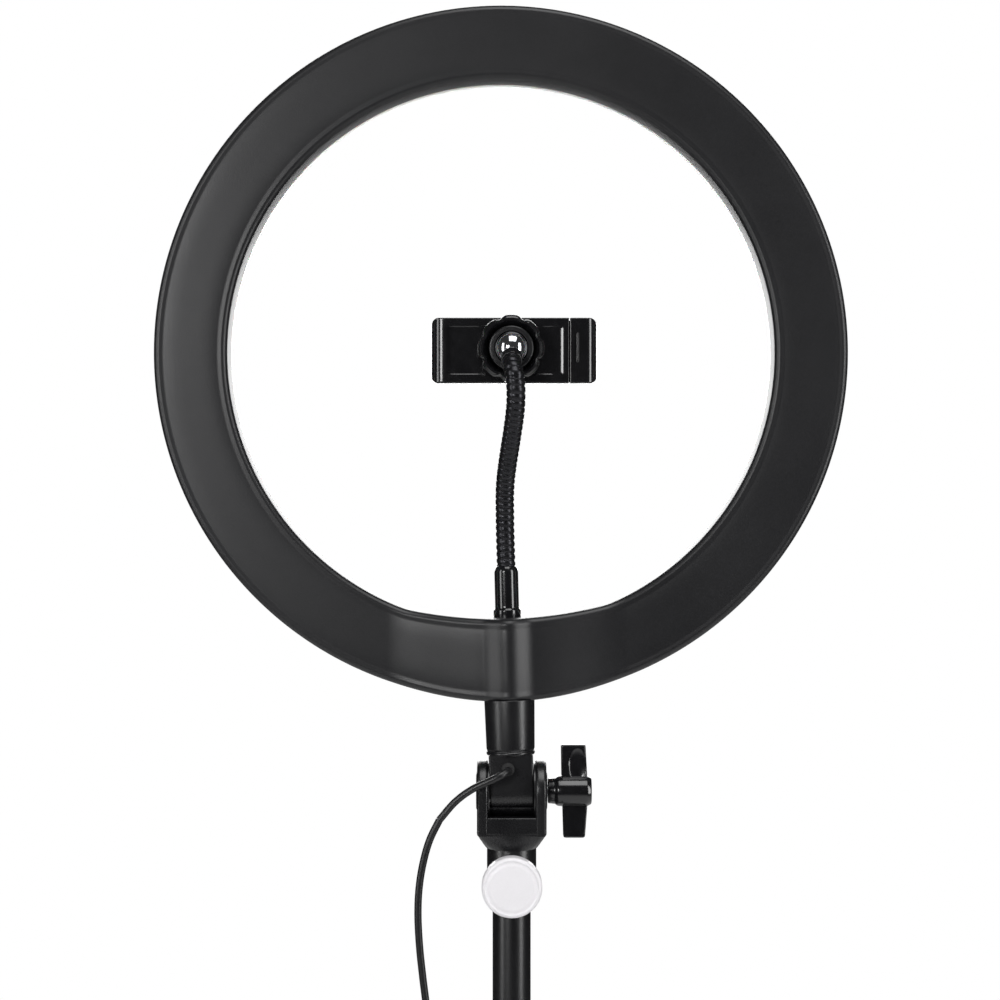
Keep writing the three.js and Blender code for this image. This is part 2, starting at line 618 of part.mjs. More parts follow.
function gooseneck(ring) {
  const ferrule = turned([
    [0, gooseFoot.z + gap], [ferruleRadius + 0.6, gooseFoot.z + gap], [ferruleRadius + 0.6, gooseFoot.z + 3],
    [ferruleRadius, gooseFoot.z + 3.6], [ferruleRadius, goosePivots[0].z - gooseRadius - 1.5],
    [ferruleRadius - 1, goosePivots[0].z - gooseRadius - gap], [0, goosePivots[0].z - gooseRadius - gap],
  ], 24).translate([gooseFoot.x, gooseFoot.y, 0]);
  ring.add(piece("gooseneck_ferrule", "gloss", ferrule));

  // Three lengths of the neck. Each starts in a ball on its pivot, and stops short of the next one.
  const tail = gooseTip.clone().addScaledVector(gooseTipTangent, -4);
  const neck = new THREE.CatmullRomCurve3(
    [
      goosePivots[0], aboveFoot(gooseBendPoint), goosePivots[1], goosePivots[2],
      aboveFoot(gooseCurlPoint), tail, gooseTip,
    ],
    false, "centripetal",
  );
  const samples = neck.getSpacedPoints(120);
  const nearest = (point) =>
    samples.reduce((best, s, i) => (s.distanceTo(point) < samples[best].distanceTo(point) ? i : best), 0);
  const starts = goosePivots.map(nearest);
  const names = ["gooseneck_lower", "gooseneck_middle", "gooseneck_upper"];
  names.forEach((name, i) => {
    const last = i === names.length - 1;
    const end = last ? gooseTip : goosePivots[i + 1];
    const clear = last ? gap : gooseRadius + gap;
    const run = samples.slice(starts[i]).filter(
      (p, k) => (last || k <= starts[i + 1] - starts[i]) && (last || p.distanceTo(end) > clear),
    );
    if (last) run[run.length - 1] = gooseTip.clone().addScaledVector(gooseTipTangent, -gap);
    const inner = run.slice(2, -1).filter((p, k) => k % 4 === 0);
    const path = new THREE.CatmullRomCurve3([run[0], ...inner, run.at(-1)]);
    const body = join(along(path, gooseRadius, 6, 10), ball(gooseRadius, goosePivots[i], 12));
    ring.add(piece(name, "gloss", body));
  });

  // The stem and ball at its tip, along the tip's direction.
  const tipAngle = THREE.MathUtils.radToDeg(Math.atan2(gooseTipTangent.z, gooseTipTangent.y));
  const stem = join(
    bar("y", stemRadius, 0, stemLength, [0, 0, 0], 20),
    bar("y", stemRadius - 1.5, stemLength - 1, ballAhead, [0, 0, 0], 16),
    ball(ballRadius, new THREE.Vector3(0, ballAhead, 0), 20),
  ).rotate([tipAngle, 0, 0]);
  ring.add(piece("ball_stud", "chrome", stem.translate(gooseTip.toArray())));
}

function phoneHolder(ring) {
  const centre = gooseTip.clone().addScaledVector(gooseTipTangent, ballAhead);
  const holder = group(ring, centre.x, centre.y, centre.z);
  const cupRadius = ballRadius + gap + socketWall;
  const cupMouth = -2.2;
  const flange = ballRadius + gap + 3;
  const backFace = flange + 3;
  const cup = cut(
    join(
      bar("y", cupRadius, cupMouth, flange + 1, [0, 0, 0], 20),
      bar("y", nutRadius - 2, flange, backFace, [0, 0, 0], 20),
    ),
    ball(ballRadius + gap, new THREE.Vector3(), 20),
  );
  holder.add(piece("ball_socket", "plastic", cup));
  const nut = plate(lobedShape(nutRadius, nutLobes, 0.9), flange - gap, nutThick, 6, 1.2);
  holder.add(
    piece("ball_nut", "gloss", cut(nut, bar("y", cupRadius + gap, -30, 30, [0, 0, 0], 20))),
  );

  // The clamp: a back plate with one fixed finger, and a jaw with the other finger that slides out of it.
  const left = holderShift - holderWidth / 2;
  const right = holderShift + holderWidth / 2;
  const jawLeft = right - jawWidth;
  const [back, face] = [backFace + gap, backFace + gap + holderThick];
  const half = holderHeight / 2;
  const channel = [face - tongueThick - 3, face - 3 + gap];
  const channelLeft = jawLeft - tongueLength - 12;
  const bodyWidth = jawLeft - gap - left;
  const backPlate = plate(roundedBox(bodyWidth / 2, -half, half, 3), face, holderThick, 3, 1.2).translate([
    left + bodyWidth / 2, 0, 0,
  ]);
  const fingerShape = roundedBox(fingerThick / 2, -half, half, 2);
  const finger = (x) =>
    plate(fingerShape, face + jawReach, jawReach + 4, 3, 1).translate([x, 0, 0]);
  const body = cut(
    join(backPlate, finger(left + fingerThick / 2)),
    block([channelLeft, channel[0] - gap, -tongueWidth / 2 - gap], [right, channel[1], tongueWidth / 2 + gap]),
  );
  holder.add(piece("clamp_body", "gloss", body));

  const jawPlate = plate(roundedBox(jawWidth / 2, -half, half, 3), face, holderThick, 3, 1.2).translate([
    jawLeft + jawWidth / 2, 0, 0,
  ]);
  const tongue = block(
    [jawLeft - tongueLength, channel[0], -tongueWidth / 2],
    [jawLeft + 2, channel[0] + tongueThick, tongueWidth / 2],
  );
  holder.add(
    piece("clamp_jaw", "gloss", join(jawPlate, tongue, finger(right - fingerThick / 2))),
  );
  const springHeight = channel[0] + tongueThick / 2;
  const spring = bar(
    "x", jawSpringRadius - gap, channelLeft + gap, jawLeft - tongueLength - gap, [0, springHeight, 0], 10,
  );
  holder.add(piece("clamp_spring", "steel", spring));
}

// ---- Cord, about the column's axis at floor level ----

// The short tail from the strain relief round to the fork's left side, about the tilt axis.
const tailRoute = [
  [-1.5, -15, 11.4], [-2.1, -18.2, 11.2], [-5, -20.8, 9.6], [-10, -20.9, 6.4], [-16.7, -19.8, 2.9],
  [-23.3, -19.2, 0.2], [-29, -18.8, -6.2], [-33.5, -18.6, -14.3],
];
// From the tail down to the controller, about the tilt axis.
const hangRoute = [
  [-33.7, -18.6, -14.6], [-37.2, -18.5, -24.8], [-40.5, -18.4, -35.7], [-42.3, -18.3, -45.2],
  [-42.8, -18.2, -55], [-42.3, -18.1, -69.5], [-41, -18, -84], [-39.2, -18, -100], [-38, -18, -125],
  [-37.5, -18, -160], [-37.4, -18, -200], [-37.5, -18, -240], [-37.5, -18, -280], [-37.5, -18, -325.5],
];
// From the controller down to the floor and along it to the coil.
const floorRoute = [
  [-37.5, -18, 303.7], [-37.5, -18, 270], [-37.6, -18, 230], [-37.8, -18.2, 190], [-38.2, -18.4, 150],
  [-39.2, -19, 110], [-41.5, -20.4, 75], [-46, -23, 45], [-54, -27.8, 22], [-66, -35, 8], [-80, -43.4, 2.6],
  [-94, -51.5, 2], [-108, -58.5, 2], [-122, -63.2, 2],
];

function cord(stand) {
  const vectors = (route) => route.map((p) => new THREE.Vector3(...p));
  const smooth = (route) => new THREE.CatmullRomCurve3(vectors(route), false, "centripetal");
  const lead = (route, steps) => along(smooth(route), cordRadius, steps);
  const bracketLevel = group(stand, 0, 0, tiltHeight);
  bracketLevel.add(piece("cable_tail", "cord", lead(tailRoute, 10)));
  bracketLevel.add(piece("ring_cable", "cord", lead(hangRoute, 26)));
  stand.add(piece("usb_cable", "cord", lead(floorRoute, 32)));

  const { width, depth, height, middle, x, y } = controller;
  const held = group(stand, x, y, middle);
  const shape = roundedBox(width / 2, -height / 2, height / 2, 8);
  const pockets = [];
  const names = ["button_brighter", "button_power", "button_dimmer"];
  names.forEach((name, i) => {
    const level = (1 - i) * buttonPitch;
    const face = -depth / 2;
    pockets.push(
      bar("y", buttonRadius + gap, face - 1, face + buttonDeep + buttonTravel + gap, [0, 0, level], 14),
    );
    const [top, root] = [face - buttonProud, face + buttonDeep];
    const button = bar("y", buttonRadius - 0.6, top, root, [0, 0, level], 14, buttonRadius);
    held.add(piece(name, "rubber", button));
  });
  const body = cut(plate(shape, depth / 2, depth, 4, 2), ...pockets);
  held.add(piece("controller_case", "plastic", body));

  const bundle = [];
  const sides = 8;
  for (let i = 0; i <= sides; i++) {
    const angle = (2 * Math.PI * i) / sides;
    bundle.push([coilRadius + coilBundle * Math.cos(angle), coilBundle + 0.1 + coilBundle * Math.sin(angle)]);
  }
  bundle[sides] = bundle[0];
  stand.add(piece("cord_coil", "cord", turned(bundle, 24).translate([coilMiddle.x, coilMiddle.y, 0])));

  const plug = group(stand, coilMiddle.x - 4, coilMiddle.y - coilRadius - coilBundle - plugSize.y / 2 - 2, 0);
  const grip = roundedBox(plugSize.x / 2, 0, plugSize.z, 2.5);
  const shellStart = plugSize.x / 2 + gap;
  const shellLow = (plugSize.z - plugShell.z) / 2;
  plug.add(piece("usb_plug", "rubber", plate(grip, plugSize.y / 2, plugSize.y, 3, 1.5)));
  const shell = cut(
    block(
      [shellStart, -plugShell.y / 2, shellLow],
      [shellStart + plugShell.x, plugShell.y / 2, shellLow + plugShell.z],
    ),
    block([shellStart + 2, -plugShell.y / 2 + 0.5, shellLow + 0.5],
      [shellStart + plugShell.x + 1, plugShell.y / 2 - 0.5, shellLow + plugShell.z / 2]),
  );
  plug.add(piece("usb_shell", "steel", shell));
}

// ---- The whole light ----

const light = new THREE.Group();
light.name = "ring_light";
const stand = group(light, 0, columnY, 0);
const bracket = group(stand, 0, 0, tiltHeight);
const head = group(bracket);
head.rotation.y = -neckLean;
const ring = group(head, 0, ringForward, ringRise);

lampHead(head, ring);
tiltBracket(bracket);
column(stand);
legs(stand);
gooseneck(ring);
phoneHolder(ring);
cord(stand);

export default light;
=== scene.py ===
"""A ring light on a folding stand, with a phone clamp on a gooseneck: the visible surfaces of every
piece. Sizes inside the functions are millimetres, and a mesh is scaled to metres when it is made."""

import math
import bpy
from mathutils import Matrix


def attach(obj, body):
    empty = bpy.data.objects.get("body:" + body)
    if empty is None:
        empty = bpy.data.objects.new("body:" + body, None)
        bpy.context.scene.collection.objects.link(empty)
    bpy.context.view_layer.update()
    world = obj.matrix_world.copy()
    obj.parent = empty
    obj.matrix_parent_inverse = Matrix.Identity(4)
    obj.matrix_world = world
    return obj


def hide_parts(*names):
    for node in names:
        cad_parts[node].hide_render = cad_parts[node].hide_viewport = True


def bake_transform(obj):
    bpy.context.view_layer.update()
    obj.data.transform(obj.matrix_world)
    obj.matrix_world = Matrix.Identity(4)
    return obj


bl_info = {
    "name": "Ring Light Builder",
    "version": (1, 0, 0),
    "blender": (4, 5, 0),
    "location": "3D View > Sidebar > Ring Light",
    "description": "Builds a ring light, its phone clamp, its lead and its folding stand",
    "category": "Add Mesh",
}

import bmesh
import bpy
import numpy as np
from bpy.props import FloatProperty, FloatVectorProperty, IntProperty, PointerProperty

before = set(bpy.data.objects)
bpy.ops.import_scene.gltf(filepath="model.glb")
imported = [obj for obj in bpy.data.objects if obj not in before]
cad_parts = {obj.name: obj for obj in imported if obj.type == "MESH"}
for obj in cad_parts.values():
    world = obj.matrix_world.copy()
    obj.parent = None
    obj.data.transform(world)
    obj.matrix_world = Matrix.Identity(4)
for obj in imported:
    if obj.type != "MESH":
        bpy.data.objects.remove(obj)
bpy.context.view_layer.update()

MM = 0.001
TURN = 2 * math.pi
# Origins in millimetres: the column's foot, the tilt axis, the ring's middle from the tilt axis, the
# clamp's ball from the ring's middle.
COLUMN = np.array([0.0, 73.383, 0.0])
TILT = COLUMN + [0.0, 0.0, 713.8]
LEAN = math.radians(1.4)
RING = np.array([0.0, 14.0, 207.6])
BALL = np.array([4.9, -23.9, 1.04])
CORD = 3.5  # the lead's diameter
LOCK_DROP = 41.4  # from the tilt axis down to the lock dial
HUB_HEIGHT, PIVOT_RADIUS, LEG_SPREAD = 62.0, 26.0, math.radians(48)
CROWN_HEIGHT = 248.887
AZIMUTHS = {"front": 270, "right": 30, "left": 150}
COIL_RADIUS, STRAND_GAP = 19.5, 3.6

# The lead's course: the first two lists from the tilt axis, the others from the column's foot.
TAIL = [
    [-1.5, -15, 11.4], [-2.1, -18.2, 11.3], [-5, -20.8, 9.9], [-10, -20.9, 7.4],
    [-18.3, -19.8, 3.4], [-26.1, -19, -2.4], [-33.6, -18.6, -11],
]
HANG = [
    [-33.6, -18.6, -11], [-38.2, -18.5, -20.5], [-41.3, -18.4, -31.5], [-43.1, -18.3, -43],
    [-43.6, -18.2, -55], [-42.9, -18.1, -69.5], [-41.4, -18, -84], [-39.5, -18, -100],
    [-38, -18, -125], [-37.5, -18, -160], [-37.4, -18, -200], [-37.5, -18, -240],
    [-37.5, -18, -280], [-37.5, -18, -325.5],
]
DROP = [
    [-37.5, -18, 303.7], [-37.5, -18, 270], [-37.6, -18, 230], [-37.8, -18.2, 190],
    [-38.2, -18.4, 150], [-39.2, -19, 110], [-41.5, -20.4, 75], [-46, -23, 45],
    [-54, -27.8, 22], [-66, -35, 8], [-80, -43.4, 2.6], [-94, -51.5, 2], [-108, -57.5, 2],
    [-122, -61.4, 2], [-136, -62.6, 2.6],
]
COIL = (-146.0, -84.0, 5.3)  # middle of the coil
LEAVE = [
    [-166, -88, 9.1], [-169.5, -92, 9.9], [-172.8, -98, 8.2], [-175.2, -105, 5],
    [-174.6, -112, 4.1], [-171, -117.4, 4], [-164, -118.9, 4],
]


def linear(text):
    """An sRGB hex colour as the linear colour that the shader works in."""
    part = np.array([int(text[i : i + 2], 16) for i in (1, 3, 5)]) / 255
    return tuple(np.where(part <= 0.04045, part / 12.92, ((part + 0.055) / 1.055) ** 2.4))


# ---- Surfaces: each is (points on a grid, whether its rows close); its columns always close ----


def moved(surface, shift):
    points, closed = surface
    return points + np.asarray(shift, float), closed


def spun(surface, axis, angle):
    """The surface turned about an axis through the origin."""
    points, closed = surface
    a, b = {"x": (1, 2), "y": (2, 0), "z": (0, 1)}[axis]
    turned_points = points.copy()
    c, s = math.cos(angle), math.sin(angle)
    turned_points[..., a] = points[..., a] * c - points[..., b] * s
    turned_points[..., b] = points[..., a] * s + points[..., b] * c
    return turned_points, closed


def soften(corners, radius, steps=4, closed=False):
    """A polyline whose corners become parabolas that start radius before the corner and end radius
    after it."""
    corners = [np.asarray(c, float) for c in corners]
    count = len(corners)
    made = [] if closed else [corners[0]]
    t = np.linspace(0, 1, steps + 1)[:, None]
    for i in range(0 if closed else 1, count if closed else count - 1):
        before, here, after = corners[i - 1], corners[i], corners[(i + 1) % count]
        a, b = before - here, after - here
        la, lb = np.linalg.norm(a), np.linalg.norm(b)
        cut = min(radius, la * 0.45, lb * 0.45)
        p, q = here + a / la * cut, here + b / lb * cut
        made.extend((1 - t) ** 2 * p + 2 * t * (1 - t) * here + t**2 * q)
    if not closed:
        made.append(corners[-1])
    return np.array(made)


def turned(profile, axis="z", centre=(0, 0, 0), sides=72, closed=False):
    """Revolution: at angle a, the profile's (radius r, height h) stands at (r cos a, r sin a, h)."""
    profile = np.asarray(profile, float)
    a = np.linspace(0, TURN, sides, endpoint=False)
    across, up = profile[:, :1] * np.cos(a), profile[:, :1] * np.sin(a)
    along = np.broadcast_to(profile[:, 1:], across.shape)
    order = {"x": (along, across, up), "y": (across, along, up), "z": (across, up, along)}
    return np.stack(order[axis], -1) + np.asarray(centre, float), closed


def rounded_box(left, right, low, high, corner, steps=8, straight=12, left_corner=None):
    """An anticlockwise rectangle whose corners are quarter circles."""
    a = np.linspace(0, math.pi / 2, steps + 1)
    other = corner if left_corner is None else left_corner
    centres = ((right - corner, low + corner, corner), (right - corner, high - corner, corner),
               (left + other, high - other, other), (left + other, low + other, other))
    arcs = []
    for i, (x, y, r) in enumerate(centres):
        angle = a + (i - 1) * math.pi / 2
        arcs.append(np.stack((x + r * np.cos(angle), y + r * np.sin(angle)), 1))
    t = np.linspace(0, 1, straight + 2)[1:-1, None]
    sides = [arcs[i][-1] * (1 - t) + arcs[(i + 1) % 4][0] * t for i in range(4)]
    return np.concatenate([part for i in range(4) for part in (arcs[i], sides[i])])


def lobed(radius, lobes, sink, power=1, count=192):
    """A circle whose radius sinks between its lobes by a raised cosine to a power."""
    a = np.linspace(0, TURN, count, endpoint=False)
    r = radius - sink * (0.5 - 0.5 * np.cos(lobes * a)) ** power
    return np.stack((r * np.cos(a), r * np.sin(a)), 1)


def circle(radius, count):
    return lobed(radius, 1, 0, count=count)


def inward(outline):
    """Unit normals that point into an anticlockwise outline."""
    along = np.roll(outline, -1, 0) - np.roll(outline, 1, 0)
    normal = np.stack((-along[:, 1], along[:, 0]), 1)
    return normal / np.linalg.norm(normal, axis=1, keepdims=True)


def slab(outline, low, high, edge, axis, rings=8, steps=5, sink_low=None, sink_high=None):
    """A plate between two heights. Its faces are the outline shrunk towards its middle, its rims are
    quarter circles, and sink_low or sink_high gives how far a point (a, b) of that face lies below it."""
    normal, middle = inward(outline), outline.mean(0)
    inner = outline + edge * normal
    s = np.linspace(0, 1, rings + 1)[:, None, None]
    flat = middle + (inner - middle) * s
    a = np.linspace(0, math.pi / 2, steps + 1)[1:, None, None]
    rim = outline + edge * (1 - np.sin(a)) * normal
    plan = np.concatenate((flat, rim))
    drop = np.concatenate((np.zeros(rings + 1), edge * (1 - np.cos(a[:, 0, 0]))))[:, None]
    drop = np.broadcast_to(drop, plan.shape[:2])
    top = high - drop - (0 if sink_high is None else sink_high(plan[..., 0], plan[..., 1]))
    bottom = low + drop + (0 if sink_low is None else sink_low(plan[..., 0], plan[..., 1]))
    plan = np.concatenate((plan, plan[::-1]))
    height = np.concatenate((top, bottom[::-1]))
    p, q = plan[..., 0], plan[..., 1]
    order = {"x": (height, p, q), "y": (p, height, q), "z": (p, q, height)}
    return np.stack(order[axis], -1), False


def band(outer, inner, section, axis):
    """A hoop: section lists (share of the way from inner to outer, extra distance outwards, height)."""
    w, d, h = (np.array(column)[:, None] for column in zip(*section))
    unit = outer / np.linalg.norm(outer, axis=1, keepdims=True)
    plan = inner * (1 - w[..., None]) + outer * w[..., None] + d[..., None] * unit
    height = np.broadcast_to(h, plan.shape[:2])
    p, q = plan[..., 0], plan[..., 1]
    order = {"x": (height, p, q), "y": (p, height, q), "z": (p, q, height)}
    return np.stack(order[axis], -1), True


def spline(points, spacing):
    """Points evenly spaced on the centripetal Catmull-Rom curve through the given ones."""
    p = np.asarray(points, float)
    p = np.vstack((2 * p[0] - p[1], p, 2 * p[-1] - p[-2]))
    dt = np.linalg.norm(np.diff(p, axis=0), axis=1) ** 0.5
    d0, d1, d2 = (dt[i : len(dt) - 2 + i, None] for i in range(3))
    x0, x1, x2, x3 = (p[i : len(p) - 3 + i] for i in range(4))
    t1 = ((x1 - x0) / d0 - (x2 - x0) / (d0 + d1) + (x2 - x1) / d1) * d1
    t2 = ((x2 - x1) / d1 - (x3 - x1) / (d1 + d2) + (x3 - x2) / d2) * d1
    t = np.linspace(0, 1, 60, endpoint=False)[None, :, None]
    x1, x2, t1, t2 = (v[:, None, :] for v in (x1, x2, t1, t2))
    curve = x1 + t1 * t + (3 * (x2 - x1) - 2 * t1 - t2) * t**2 + (2 * (x1 - x2) + t1 + t2) * t**3
    return even(np.vstack((curve.reshape(-1, 3), p[-2])), spacing)


def even(curve, spacing):
    """The same line with its points evenly spaced."""
    run = np.concatenate(([0], np.cumsum(np.linalg.norm(np.diff(curve, axis=0), axis=1))))
    s = np.linspace(0, run[-1], max(3, round(run[-1] / spacing) + 1))
    return np.stack([np.interp(s, run, curve[:, k]) for k in range(3)], 1)


def carried(path, radius, sides=20, twist=0.0):
    """A round section carried along a path. Its frame turns as little as it can from one station to the
    next, radius is a number or a grid of stations and angles, and the ends close in a point."""
    tangent = np.gradient(path, axis=0)
    tangent /= np.linalg.norm(tangent, axis=1, keepdims=True)
    first = np.cross(tangent[0], [0.3, 0.2, 1.0] if abs(tangent[0][2]) < 0.9 else [1.0, 0.2, 0.1])
    normal = [first / np.linalg.norm(first)]
    for t in tangent[1:]:
        n = normal[-1] - t * (normal[-1] @ t)
        normal.append(n / np.linalg.norm(n))
    normal = np.array(normal)
    other = np.cross(tangent, normal)
    a = np.linspace(0, TURN, sides, endpoint=False) + twist
    r = np.broadcast_to(radius, (len(path), sides))[..., None]
    skin = path[:, None] + r * (normal[:, None] * np.cos(a)[:, None] + other[:, None] * np.sin(a)[:, None])
    start = np.broadcast_to(path[:1, None], (1, sides, 3))
    end = np.broadcast_to(path[-1:, None], (1, sides, 3))
    return np.concatenate((start, skin, end)), False


def skin(name, surfaces, place, finish, sharp=32, slot=None):
    """One mesh from grids: cell (i, j) is the face between rows i and i + 1 and columns j and j + 1.
    Poles and seams are merged, then the faces are turned outwards."""
    points, faces, first = [], [], 0
    for grid, closed in surfaces:
        rows, columns = grid.shape[:2]
        i = np.arange(rows if closed else rows - 1)[:, None]
        j = np.arange(columns)[None, :]
        below, right = (i + 1) % rows, (j + 1) % columns
        cells = (i * columns + j, i * columns + right, below * columns + right, below * columns + j)
        faces.append(first + np.stack(cells, -1).reshape(-1, 4))
        points.append(grid.reshape(-1, 3))
        first += rows * columns
    mesh = bpy.data.meshes.new(name)
    mesh.from_pydata(place(np.vstack(points)) * MM, [], np.vstack(faces).tolist())
    work = bmesh.new()
    work.from_mesh(mesh)
    bmesh.ops.remove_doubles(work, verts=work.verts, dist=2e-7)
    bmesh.ops.dissolve_degenerate(work, edges=work.edges, dist=1e-8)
    bmesh.ops.recalc_face_normals(work, faces=work.faces)
    work.to_mesh(mesh)
    work.free()
    mesh.shade_smooth()
    mesh.set_sharp_from_angle(angle=math.radians(sharp))
    obj = bpy.data.objects.new(name, mesh)
    bpy.context.scene.collection.objects.link(obj)
    if finish:
        mesh.materials.append(FINISHES[finish])
        slot or SLOTS[finish]
    return obj


def piece(name, surfaces, place, finish, body, *nodes, sharp=32, slot=None):
    """A skin that rides on a body and stands for the nodes it covers."""
    obj = skin(name, surfaces, place, finish, sharp, slot)
    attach(obj, body)
    if nodes:
        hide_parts(*nodes)
    return obj


# ---- Places: from the light's own parts to the floor's frame ----


def in_column(p):
    return p + COLUMN


def in_bracket(p):
    return p + TILT


def in_head(p):
    """Leans the head sideways about the tilt axis, then lifts it there."""
    c, s = math.cos(LEAN), math.sin(LEAN)
    x, y, z = p[..., 0], p[..., 1], p[..., 2]
    return np.stack((x * c - z * s, y, x * s + z * c), -1) + TILT


def in_ring(p):
    return in_head(p + RING)


def in_holder(p):
    """The holder hangs level although the head leans, as it is turned back about the ball."""
    return p + in_ring(BALL)


def in_spoke(side):
    """Radial x, tangential y, about the column."""
    angle = math.radians(AZIMUTHS[side])
    c, s = math.cos(angle), math.sin(angle)

    def place(p):
        x, y, z = p[..., 0], p[..., 1], p[..., 2]
        return np.stack((x * c - y * s, x * s + y * c, z), -1) + COLUMN

    return place


# ---- Finishes ----


def node(tree, kind, inputs=None, **settings):
    """Adds a shader node, sets its properties, and fills or links its inputs."""
    made = tree.nodes.new("ShaderNode" + kind)
    for key, value in settings.items():
        setattr(made, key, value)
    for socket, value in (inputs or {}).items():
        if isinstance(value, bpy.types.NodeSocket):
            tree.links.new(value, made.inputs[socket])
        else:
            made.inputs[socket].default_value = value
    return made


def surface(name, light, dark, patch, rough, spread, grain, relief, speck=0.15, stretch=(1, 1, 1),
        **constants):
    """A solid finish. Light and dark patches, patch mm wide, come from moulding flow and handling;
    rough varies by spread over them; grain mm wide relief of the given depth in mm is the texture of
    the tool or the coat."""
    material = bpy.data.materials.new(name)
    material.use_nodes = True
    tree = material.node_tree
    shader = tree.nodes["Principled BSDF"]
    place = node(tree, "TexCoord").outputs["Object"]
    place = node(tree, "Mapping", {"Vector": place, "Scale": stretch}).outputs["Vector"]
    flow = node(tree, "TexNoise", {"Vector": place, "Scale": 1000 / patch, "Detail": 4.0, "Roughness": 0.6})
    fine = node(tree, "TexNoise", {"Vector": place, "Scale": 1000 / grain, "Detail": 3.0,
        "Roughness": 0.65})
    colour = node(
        tree, "Mix", {0: flow.outputs["Fac"], 6: (*dark, 1.0), 7: (*light, 1.0)}, data_type="RGBA"
    )
    specks = node(
        tree, "MapRange", {"Value": fine.outputs["Fac"], "From Min": 0.3, "From Max": 0.7,
            "To Min": 1 - speck, "To Max": 1 + speck}
    )
    tinted = node(
        tree, "Mix", {0: 1.0, 6: colour.outputs[2], 7: specks.outputs["Result"]}, data_type="RGBA",
        blend_type="MULTIPLY"
    )
    tree.links.new(tinted.outputs[2], shader.inputs["Base Color"])
    wear = node(tree, "Math", {0: flow.outputs["Fac"], 1: fine.outputs["Fac"]}, operation="ADD")
    shine = node(
        tree, "MapRange",
        {"Value": wear.outputs["Value"], "From Min": 0.65, "From Max": 1.35, "To Min": rough - spread,
            "To Max": rough + spread},
    )
    tree.links.new(shine.outputs["Result"], shader.inputs["Roughness"])
    bump = node(tree, "Bump", {"Height": fine.outputs["Fac"], "Strength": 1.0, "Distance": relief * MM})
    tree.links.new(bump.outputs["Normal"], shader.inputs["Normal"])
    for socket, value in constants.items():
        shader.inputs[socket.replace("_", " ")].default_value = value
    return material


FINISHES = {}
SLOTS = {
    "cover": "cover", "opal": "diffuser", "gloss": "gloss_black", "nylon": "moulded_black",
    "white": "white_plastic",
    "tube": "painted_tube", "zinc": "steel", "chrome": "chrome", "wound": "gloss_black", "rubber": "rubber",
    "pvc": "cord", "strap": "cord",
}


def make_finishes(colours):
    """Every finish of the light, from the panel's colours."""
    shade = lambda colour, share: tuple(c * share for c in colour)
    black, gloss, white = colours.cover, colours.knobs, colours.lock
    # Spark-eroded ABS: a dull, faintly grey black with a fine even grain, drawn 0.7 mm wide so that it
    # shows.
    FINISHES["cover"] = surface("spark_eroded_abs", shade(black, 1.15), shade(black, 0.85), 60, 0.38, 0.04,
        0.7, 0.03)
    # Opal acrylic: milky white with a soft depth and a smooth skin.
    FINISHES["opal"] = surface(
        "opal_acrylic", linear("#f6f5f1"), linear("#ecebe6"), 45, 0.3, 0.04, 1.5, 0.01, 0.01,
        IOR=1.49, Subsurface_Weight=0.35, Subsurface_Scale=0.004,
    )
    # Polished ABS: piano black that mirrors the lamps softly, with moulding ripples 5 mm wide.
    FINISHES["gloss"] = surface(
        "polished_abs", shade(gloss, 1.2), shade(gloss, 0.8), 14, 0.17, 0.04, 5.0, 0.02, IOR=1.53,
        Coat_Weight=0.25
    )
    # Glass-filled nylon: deep black, satin, with a grain from the fibres 0.5 mm wide.
    FINISHES["nylon"] = surface(
        "moulded_nylon", linear("#161618"), linear("#0e0e10"), 25, 0.3, 0.07, 0.5, 0.03, IOR=1.53
    )
    # White ABS: a warm bright white with a satin skin.
    FINISHES["white"] = surface("white_abs", shade(white, 1.0), shade(white, 0.95), 12, 0.32, 0.05, 0.8,
        0.008, 0.015)
    # Powder-coated steel: black with an orange peel 1.4 mm wide under a clear shine.
    FINISHES["tube"] = surface(
        "powder_coated_steel", linear("#131315"), linear("#0c0c0e"), 40, 0.33, 0.05, 1.4, 0.03
    )
    # Zinc-plated steel: pale grey metal, drawn lengthwise.
    FINISHES["zinc"] = surface(
        "zinc_plated_steel", linear("#b9bbbe"), linear("#9a9ca0"), 6, 0.3, 0.08, 0.6, 0.01, Metallic=1.0
    )
    # Chromed steel: a mirror with a trace of polishing haze.
    FINISHES["chrome"] = surface(
        "chromed_steel", linear("#dcdee1"), linear("#cdd0d4"), 5, 0.09, 0.03, 0.5, 0.004, Metallic=1.0
    )
    # Blackened steel, wound: dark metal whose turns catch a grey line each.
    FINISHES["wound"] = surface(
        "blackened_steel", linear("#3a3a3d"), linear("#232326"), 8, 0.3, 0.07, 0.8, 0.02, Metallic=0.85
    )
    # Brass: turned, yellow, slightly dull.
    FINISHES["brass"] = surface("turned_brass", linear("#c8a55c"), linear("#a98544"), 4, 0.3, 0.06, 0.5,
        0.01, Metallic=1.0)
    # Thermoplastic rubber: matt, with dust in a grain 0.9 mm wide.
    FINISHES["rubber"] = surface("moulded_rubber", linear("#1d1d1e"), linear("#121213"), 18, 0.68, 0.08,
        0.9, 0.05)
    # Soft PVC: black, satin, with the drawing lines of its extrusion.
    FINISHES["pvc"] = surface(
        "extruded_pvc", linear("#18181a"), linear("#0f0f10"), 15, 0.36, 0.06, 0.9, 0.02,
        stretch=(1, 1, 0.25)
    )
    # White solder mask on a glass-fibre board.
    FINISHES["board"] = surface("solder_mask", linear("#f0efe8"), linear("#dcdacf"), 9, 0.4, 0.08, 0.7,
        0.02)
    # Woven hook-and-loop nylon: black, dull, in rows 0.8 mm wide.
    FINISHES["strap"] = surface("woven_nylon", linear("#232326"), linear("#101012"), 3, 0.8, 0.08, 0.8,
        0.12)


# ---- Lead ----


